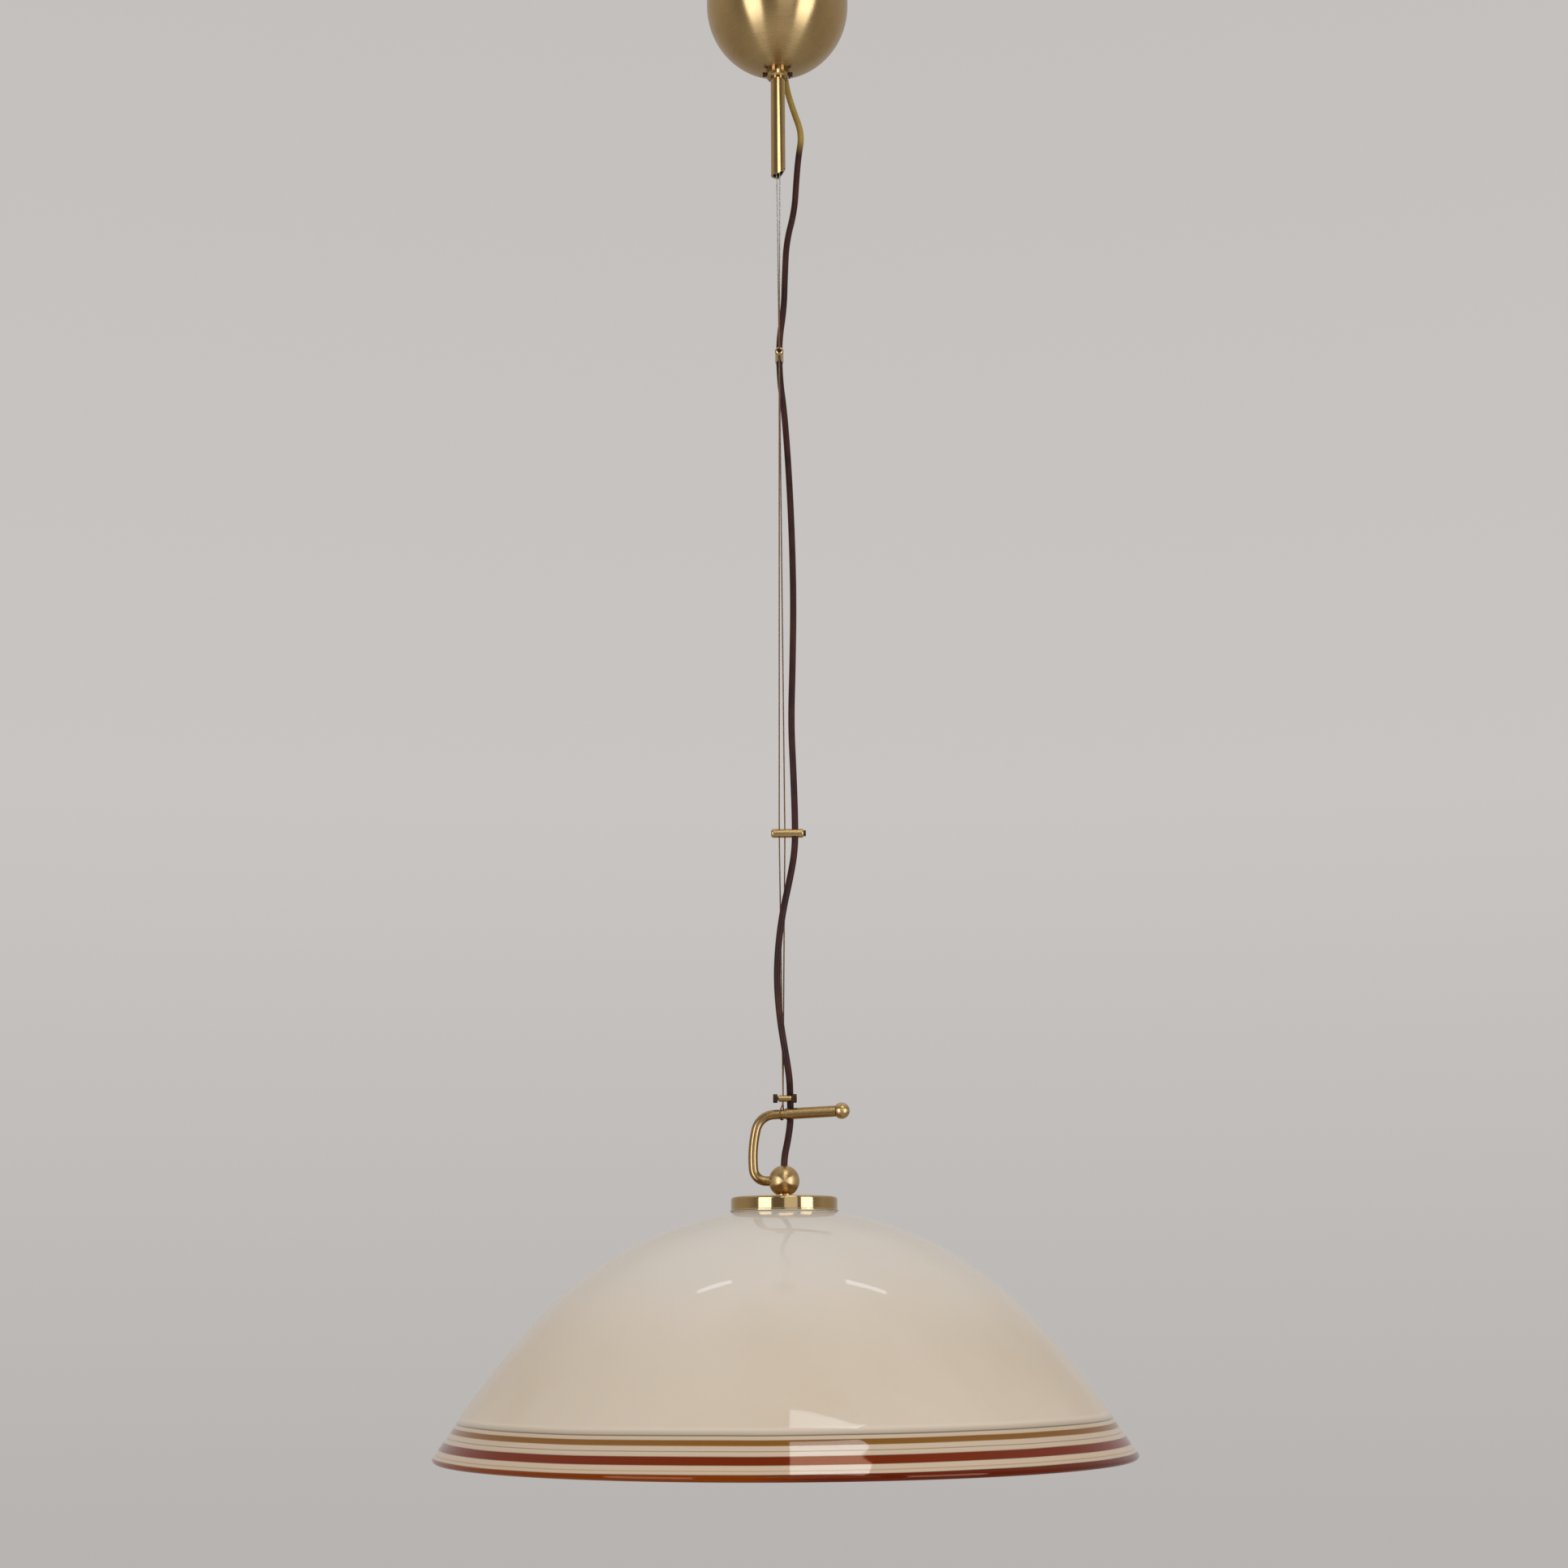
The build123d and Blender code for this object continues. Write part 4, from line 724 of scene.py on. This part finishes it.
for node, way in (("core_front", -1), ("core_back", 1)):
    line = smooth_line([
        (CABLE_END_X, way * CORE_OFF, CABLE_END_Z), (CABLE_END_X, way * CORE_OFF, -41.5),
        (CABLE_END_X, way * TERMINAL_OFF, -37), (CABLE_END_X, way * TERMINAL_OFF, -32),
    ])
    piece = sheath_piece(node, line, CORE_DIA, "core")
    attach(piece, "ceiling_mount")
for node, points in CABLE_ROUTES.items():
    line = smooth_line(points)
    piece = sheath_piece(node, line, CABLE_DIA, "cable")
    if node == "cable_inner":
        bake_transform(piece)
    elif node == "cable_upper":
        draw_in(piece)
    elif node == "cable_middle":
        draw_in(piece)
    else:
        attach(piece, "lamp")

# Wires: each has a point about 6 diameters from every edge that it bends over
WIRE_TOP = -3
STEM_END = -182.3
UPPER_BAR = -334
LOWER_BAR = -717
CLAMP = -915.5
WIRE_LEAD = 6.6
STEM_OFF = 1.2
BAR_OFF = 2.1
CLAMP_OFF = 0.65
CLAMP_X = -0.4
for hand, sign in (("left", -1), ("right", 1)):
    stem_x = sign * STEM_OFF
    line = smooth_line([
        (stem_x, 0, WIRE_TOP), (stem_x, 0, STEM_END + WIRE_LEAD), (stem_x, 0, STEM_END),
        (0.05 * sign, sign * 2.0, UPPER_BAR + WIRE_LEAD), (0, sign * BAR_OFF, UPPER_BAR),
    ])
    piece = wire_piece("wire_upper_" + hand, line)
    draw_in(piece)
    line = smooth_line([
        (0, sign * BAR_OFF, UPPER_BAR), (sign * 0.04, sign * 2.06, UPPER_BAR - WIRE_LEAD),
        (sign * 2.06, sign * 0.04, LOWER_BAR + WIRE_LEAD), (sign * BAR_OFF, 0, LOWER_BAR),
        (sign * 2.05 - 0.01, sign * 0.02, LOWER_BAR - WIRE_LEAD),
        (sign * 0.02 - 0.38, sign * 0.64, CLAMP + WIRE_LEAD), (CLAMP_X, sign * CLAMP_OFF, CLAMP),
    ])
    piece = wire_piece("wire_lower_" + hand, line)
    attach(piece, "lamp")
line = smooth_line([
    (CLAMP_X, -CLAMP_OFF, CLAMP), (CLAMP_X, -CLAMP_OFF, -919.8), (-2.9, -4.1, -925), (-2.9, -4.1, -931.1),
    (-0.1, 4.1, -931.1), (-0.1, 4.1, -925), (CLAMP_X, CLAMP_OFF, -919.8), (CLAMP_X, CLAMP_OFF, CLAMP),
])
piece = wire_piece("wire_loop", line)
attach(piece, "lamp")


# Turned pieces

STEPS_PER_RIDGE = 8
SHADE_STEPS = 256
CROWN_ROWS = 44
FLANK_ROWS = 100
INNER_FLANK_ROWS = 40
RIM_ROWS = 12


def turned(name, node, body, profile, finish, cuts=None):
    """A piece turned from a closed profile of (radius, height) points, in place of a node if it has one."""
    points = [(reach, 0, height) for reach, height in profile]
    values = {"Profile points": len(points), "Finish": finishes[finish], **(cuts or {})}
    piece = put(name, grown(name, line_mesh(name, points), turned_piece, values))
    if node:
        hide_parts(node)
    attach(piece, body)


def steps(low, high, count):
    return [low + (high - low) * i / count for i in range(count + 1)]


def shade_profile():
    """The glass from its hole down the outside, round the rim and up the inside."""
    shift = CROWN_RADIUS - FLANK_RADIUS
    flank_x = shift * math.sin(CROWN_TURN)
    flank_z = CROWN_CENTRE + shift * math.cos(CROWN_TURN)
    half_wall = GLASS_WALL / 2
    rim_turn = math.asin((SHADE_RADIUS - half_wall - flank_x) / (FLANK_RADIUS - half_wall))

    def crown(turn, depth):
        radius = CROWN_RADIUS - depth
        return (radius * math.sin(turn), CROWN_CENTRE + radius * math.cos(turn))

    def flank(turn, depth):
        radius = FLANK_RADIUS - depth
        return (flank_x + radius * math.sin(turn), flank_z + radius * math.cos(turn))

    def step_in(turn):
        """The band lies a little deeper than the opal layer above it."""
        above = flank(turn, 0)[1] - RIM_Z
        if above > STEP_LOW:
            share = max(STEP_HIGH - above, 0.0) / (STEP_HIGH - STEP_LOW)
        else:
            share = max(above, 0.0) / STEP_LOW
        return STEP_DEPTH * share**2 * (3 - 2 * share)

    def rim(turn):
        middle_x, middle_z = flank(rim_turn, half_wall)
        return (middle_x + half_wall * math.sin(turn), middle_z + half_wall * math.cos(turn))

    hole_out = math.asin(GLASS_HOLE / CROWN_RADIUS)
    hole_in = math.asin(GLASS_HOLE / (CROWN_RADIUS - GLASS_WALL))
    outside = [crown(t, 0) for t in steps(hole_out, CROWN_TURN, CROWN_ROWS)]
    outside += [flank(t, step_in(t)) for t in steps(CROWN_TURN, rim_turn, FLANK_ROWS)[1:]]
    edge = [rim(t) for t in steps(rim_turn, rim_turn + math.pi, RIM_ROWS)[1:-1]]
    inside = [flank(t, GLASS_WALL) for t in steps(rim_turn, CROWN_TURN, INNER_FLANK_ROWS)]
    inside += [crown(t, GLASS_WALL) for t in steps(CROWN_TURN, hole_in, CROWN_ROWS)[1:]]
    return outside + edge + inside


turned(
    "blown_shade", "shade_glass", "lamp", shade_profile(), "glass",
    {"Steps around": SHADE_STEPS},
)

# Thumbscrews with a knurled head, a dished end and a plain shank
KNURLS = 22
KNURL_DEPTH = 0.00028
SHANK_RADIUS = 0.00145
HEAD_LENGTH = 0.0034
HEAD_BEVEL = 0.0005
HEAD_ROWS = 6
DISH_DEPTH = 0.0005
DISH_FLOOR = 0.42
DISH_RIM = 0.6


def thumbscrew(node, way):
    """A thumbscrew with its head on the left, -1, or on the right, 1."""
    low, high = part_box(node)
    head = (high.z - low.z) / 2
    length = high.x - low.x
    start = length - HEAD_LENGTH
    dish = length - DISH_DEPTH
    profile = [(0, dish), (head * DISH_FLOOR, dish), (head * DISH_RIM, length), (head - HEAD_BEVEL, length)]
    profile += [(head, z) for z in steps(length - HEAD_BEVEL, start + HEAD_BEVEL, HEAD_ROWS)]
    profile += [(head - HEAD_BEVEL, start), (SHANK_RADIUS, start), (SHANK_RADIUS, 0), (0, 0)]
    turned(
        node + "_knurled", node, node, profile, "dark_screw",
        {
            "Steps around": KNURLS * STEPS_PER_RIDGE, "Ridges": KNURLS, "Ridge depth": KNURL_DEPTH,
            "Cut from radius": head - HEAD_BEVEL / 2, "Cut from height": start, "Cut to height": length,
            "Tilt": (0.0, way * math.pi / 2, 0.0),
            "Place": (low.x if way > 0 else high.x, 0.0, (low.z + high.z) / 2),
        },
    )


thumbscrew("clamp_screw_left", -1)
thumbscrew("clamp_screw_right", 1)

# Threaded nipples
NIPPLE_PITCH = 0.001
NIPPLE_THREAD = 0.00045
NIPPLE_STEPS = 48
STEPS_PER_TURN = 12
STEM_NIPPLE_BORE = 0.0025
NECK_NIPPLE_BORE = 0.0038


def threaded_tube(node, body, bore):
    """A threaded tube in place of a plain nipple."""
    low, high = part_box(node)
    outer = high.x
    rows = max(2 * STEPS_PER_TURN, int(STEPS_PER_TURN * (high.z - low.z) / NIPPLE_PITCH))
    profile = [(bore, high.z), (outer - NIPPLE_THREAD, high.z)]
    profile += [(outer, z) for z in steps(high.z - NIPPLE_THREAD, low.z + NIPPLE_THREAD, rows)]
    profile += [(outer - NIPPLE_THREAD, low.z), (bore, low.z)]
    turned(
        node + "_threaded", node, body, profile, "zinc_steel",
        {
            "Steps around": NIPPLE_STEPS, "Thread pitch": NIPPLE_PITCH, "Thread depth": NIPPLE_THREAD,
            "Cut from radius": (outer + bore) / 2,
            "Cut from height": low.z + NIPPLE_THREAD / 2, "Cut to height": high.z - NIPPLE_THREAD / 2,
        },
    )


threaded_tube("stem_nipple", "ceiling_mount", STEM_NIPPLE_BORE)
threaded_tube("neck_nipple", "lamp", NECK_NIPPLE_BORE)

# Lampholder shell with grip ridges round its waist
SHELL_WALL = 0.0024
SHELL_MOUTH = 0.018
SHELL_ROWS = 40
GRIPS = 40
GRIP_DEPTH = 0.0006
GRIP_MARGIN = 0.006


def holder_shell():
    """A conical shell, ridged between its plain ends."""
    low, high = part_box("holder_shell")
    levels = steps(high.z, low.z, SHELL_ROWS)

    def radius(z):
        return SHELL_MOUTH + (high.x - SHELL_MOUTH) * (z - low.z) / (high.z - low.z)

    profile = [(radius(z), z) for z in levels] + [(radius(z) - SHELL_WALL, z) for z in reversed(levels)]
    turned(
        "holder_shell_ridged", "holder_shell", "lamp", profile, "resin",
        {
            "Steps around": GRIPS * STEPS_PER_RIDGE, "Ridges": GRIPS, "Ridge depth": GRIP_DEPTH,
            "Cut from radius": SHELL_MOUTH - SHELL_WALL / 2,
            "Cut from height": low.z + GRIP_MARGIN, "Cut to height": high.z - GRIP_MARGIN,
        },
    )


holder_shell()

# Bulb base: rolled screw shell, black insulator and solder point
BASE_TIP = 0.0042
BASE_BEVEL = 0.0012
BASE_PITCH = 0.0036
BASE_THREAD = 0.0009
BASE_STEPS = 72
BASE_ROWS = 96
PLAIN_FOOT = 0.003
PLAIN_TOP = 0.001
CONTACT_HEIGHT = 0.0008
CONTACT_DOME = [(0, 0), (0.0028, 0.0001), (0.0044, 0.0005), (0.0046, CONTACT_HEIGHT)]
INSULATOR_TOP = 0.0052
INSULATOR_INSET = 0.0016
INSULATOR_EDGE = 0.0004


def bulb_base():
    """The base's three pieces, from the glass up to the tip."""
    low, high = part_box("bulb_base")
    shell = high.x
    top = high.z - BASE_TIP
    contact = high.z - CONTACT_HEIGHT
    profile = [(0, top), (shell - BASE_BEVEL, top)]
    profile += [(shell, z) for z in steps(top - BASE_BEVEL, low.z, BASE_ROWS)] + [(0, low.z)]
    turned(
        "bulb_base_shell", "bulb_base", "bulb", profile, "bulb_metal",
        {
            "Steps around": BASE_STEPS, "Thread pitch": BASE_PITCH, "Thread depth": BASE_THREAD,
            "Cut from radius": shell / 2,
            "Cut from height": low.z + PLAIN_FOOT, "Cut to height": top - PLAIN_TOP,
        },
    )
    rim = shell - INSULATOR_INSET
    profile = [(0, contact), (INSULATOR_TOP, contact), (rim, top + INSULATOR_EDGE), (rim, top), (0, top)]
    turned("bulb_base_insulator", None, "bulb", profile, "resin")
    profile = [(reach, high.z - depth) for reach, depth in CONTACT_DOME] + [(0, contact)]
    turned("bulb_base_contact", None, "bulb", profile, "bulb_metal")


bulb_base()


# Finishes of the solids that stay

FINISH_OF = {
    "spun_brass": ["canopy_cup"],
    "turned_brass": ["canopy_collar", "stem_tube", "cap_disc", "wire_anchor", "centre_contact"],
    "ball_brass": ["neck_ball"],
    "knob_brass": ["handle_knob"],
    "bar_brass": ["upper_bar", "lower_bar", "barrel_clamp"],
    "rod_brass": ["handle_arm", "handle_grip"],
    "dark_screw": ["collar_screws", "upper_bar_screws", "lower_bar_screws"],
    "zinc_steel": [
        "ceiling_bracket", "stem_nut", "terminal_screws", "wire_ferrules", "lower_washer", "neck_nut",
        "screw_sleeve",
    ],
    "terminal": ["terminal_block"],
    "resin": ["holder_cap"],
    "insulator": ["holder_insert"],
    "rubber": ["cable_grommet"],
    "silicone": ["cap_gasket", "lower_gasket"],
    "bulb": ["bulb_glass"],
}
for finish_name, members in FINISH_OF.items():
    for member in members:
        nodes[member].data.materials.clear()
        nodes[member].data.materials.append(finishes[finish_name])


# Floor, light and camera

FLOOR_Z = -3.5
FLOOR_REACH = 8.0
FLOOR_SIDES = 96
DIM_FROM, DIM_TO = 0.1, -0.7
DIMMEST = 0.45
DAYLIGHT = (0.91, 1.0, 1.2)
TUBE_LIGHT = (0.98, 1.0, 1.04)
WINDOW_Z = -1.0
WINDOW_HEIGHT = 2.8
WINDOW_GLOW = 4.6
CEILING_Z = 0.9
CAMERA_PLACE = (0.0017, -1.7986, -1.0656)
CAMERA_PITCH = math.radians(90 + 12.13)
CAMERA_ROLL = math.radians(-0.345)
CAMERA_LENS = 55.9
SENSOR_WIDTH = 36.0


def floor_finish():
    finish = Finish("pale_floor")
    cloud = finish.noise(1.5, 3.0)
    finish.colour(finish.ramp(cloud, [(0.3, (198, 196, 192)), (0.7, (204, 202, 199))]))
    finish.set(Roughness=0.8)
    return finish.material


def round_floor():
    mesh = bpy.data.meshes.new("floor")
    turns = [math.tau * i / FLOOR_SIDES for i in range(FLOOR_SIDES)]
    edge = [(FLOOR_REACH * math.cos(t), FLOOR_REACH * math.sin(t), FLOOR_Z) for t in turns]
    mesh.from_pydata(edge, [], [tuple(range(FLOOR_SIDES))])
    mesh.materials.append(floor_finish())
    put("floor", mesh)


def studio_world():
    """A pale room, brighter above, dimmer on the camera's side."""
    world = bpy.data.worlds.new("studio")
    scene.world = world
    world.use_nodes = True
    tree = world.node_tree
    way = add(tree, "ShaderNodeTexCoord")
    split = add(tree, "ShaderNodeSeparateXYZ")
    tree.links.new(way.outputs["Generated"], split.inputs["Vector"])
    lift = range_node(tree, split.outputs["Z"], -1.0, 1.0, 0.0, 1.0)
    dome = ramp_node(tree, lift, [
        (0.0, (140, 136, 132)), (0.46, (184, 180, 177)), (0.5, (189, 185, 182)), (0.6, (201, 197, 195)),
        (0.75, (196, 192, 189)), (0.9, (240, 238, 236)), (1.0, (250, 249, 248)),
    ])
    front = range_node(tree, split.outputs["Y"], DIM_FROM, DIM_TO, 1.0, DIMMEST, soft=True)
    sky = tree.nodes["Background"]
    tree.links.new(dome, sky.inputs["Color"])
    tree.links.new(front, sky.inputs["Strength"])


def panel(name, place, aim, width, height, glow, tint, spin=0.0):
    """A soft rectangular light of this radiance and tint."""
    lamp = bpy.data.lights.new(name, "AREA")
    lamp.shape = "RECTANGLE"
    lamp.size = width
    lamp.size_y = height
    lamp.energy = glow * math.pi * width * height
    lamp.color = tint
    carrier = put(name, lamp)
    look = (Vector(aim) - Vector(place)).to_track_quat("-Z", "Y").to_matrix().to_4x4()
    carrier.matrix_world = Matrix.Translation(place) @ look @ Matrix.Rotation(spin, 4, "Z")


round_floor()
studio_world()
for side, x, y, width in (("left", -2.14, -2.38, 1.6), ("right", 2.45, -2.05, 1.5)):
    place, aim = (x, y, WINDOW_Z), (0, 0, WINDOW_Z)
    panel("window_" + side, place, aim, width, WINDOW_HEIGHT, WINDOW_GLOW, DAYLIGHT)
panel("room_wall", (0.85, -3.3, -0.6), (0, 0, -0.8), 1.7, 2.0, 0.95, DAYLIGHT)
for side, x, y, width, height, glow, spin in (
    ("front", 0.42, -1.11, 0.76, 0.33, 7.5, 0.0),
    ("far", 0.5, -2.05, 1.5, 0.5, 3.8, 0.0),
    ("back", 0.3, -4.2, 2.4, 0.7, 4.0, 0.0),
    ("left", -0.6, 0.393, 0.31, 0.08, 5.0, 0.0),
    ("right", 0.7, 0.45, 0.38, 0.08, 5.0, math.radians(8.4)),
):
    place, aim = (x, y, CEILING_Z), (x, y, FLOOR_Z)
    panel("ceiling_light_" + side, place, aim, width, height, glow, TUBE_LIGHT, spin)

camera_data = bpy.data.cameras.new("photo_view")
camera_data.sensor_width = SENSOR_WIDTH
camera_data.lens = CAMERA_LENS
camera = put("photo_view", camera_data)
pitch = Matrix.Rotation(CAMERA_PITCH, 4, "X")
roll = Matrix.Rotation(CAMERA_ROLL, 4, "Z")
camera.matrix_world = Matrix.Translation(CAMERA_PLACE) @ pitch @ roll
scene.camera = camera

scene.view_settings.view_transform = "Standard"
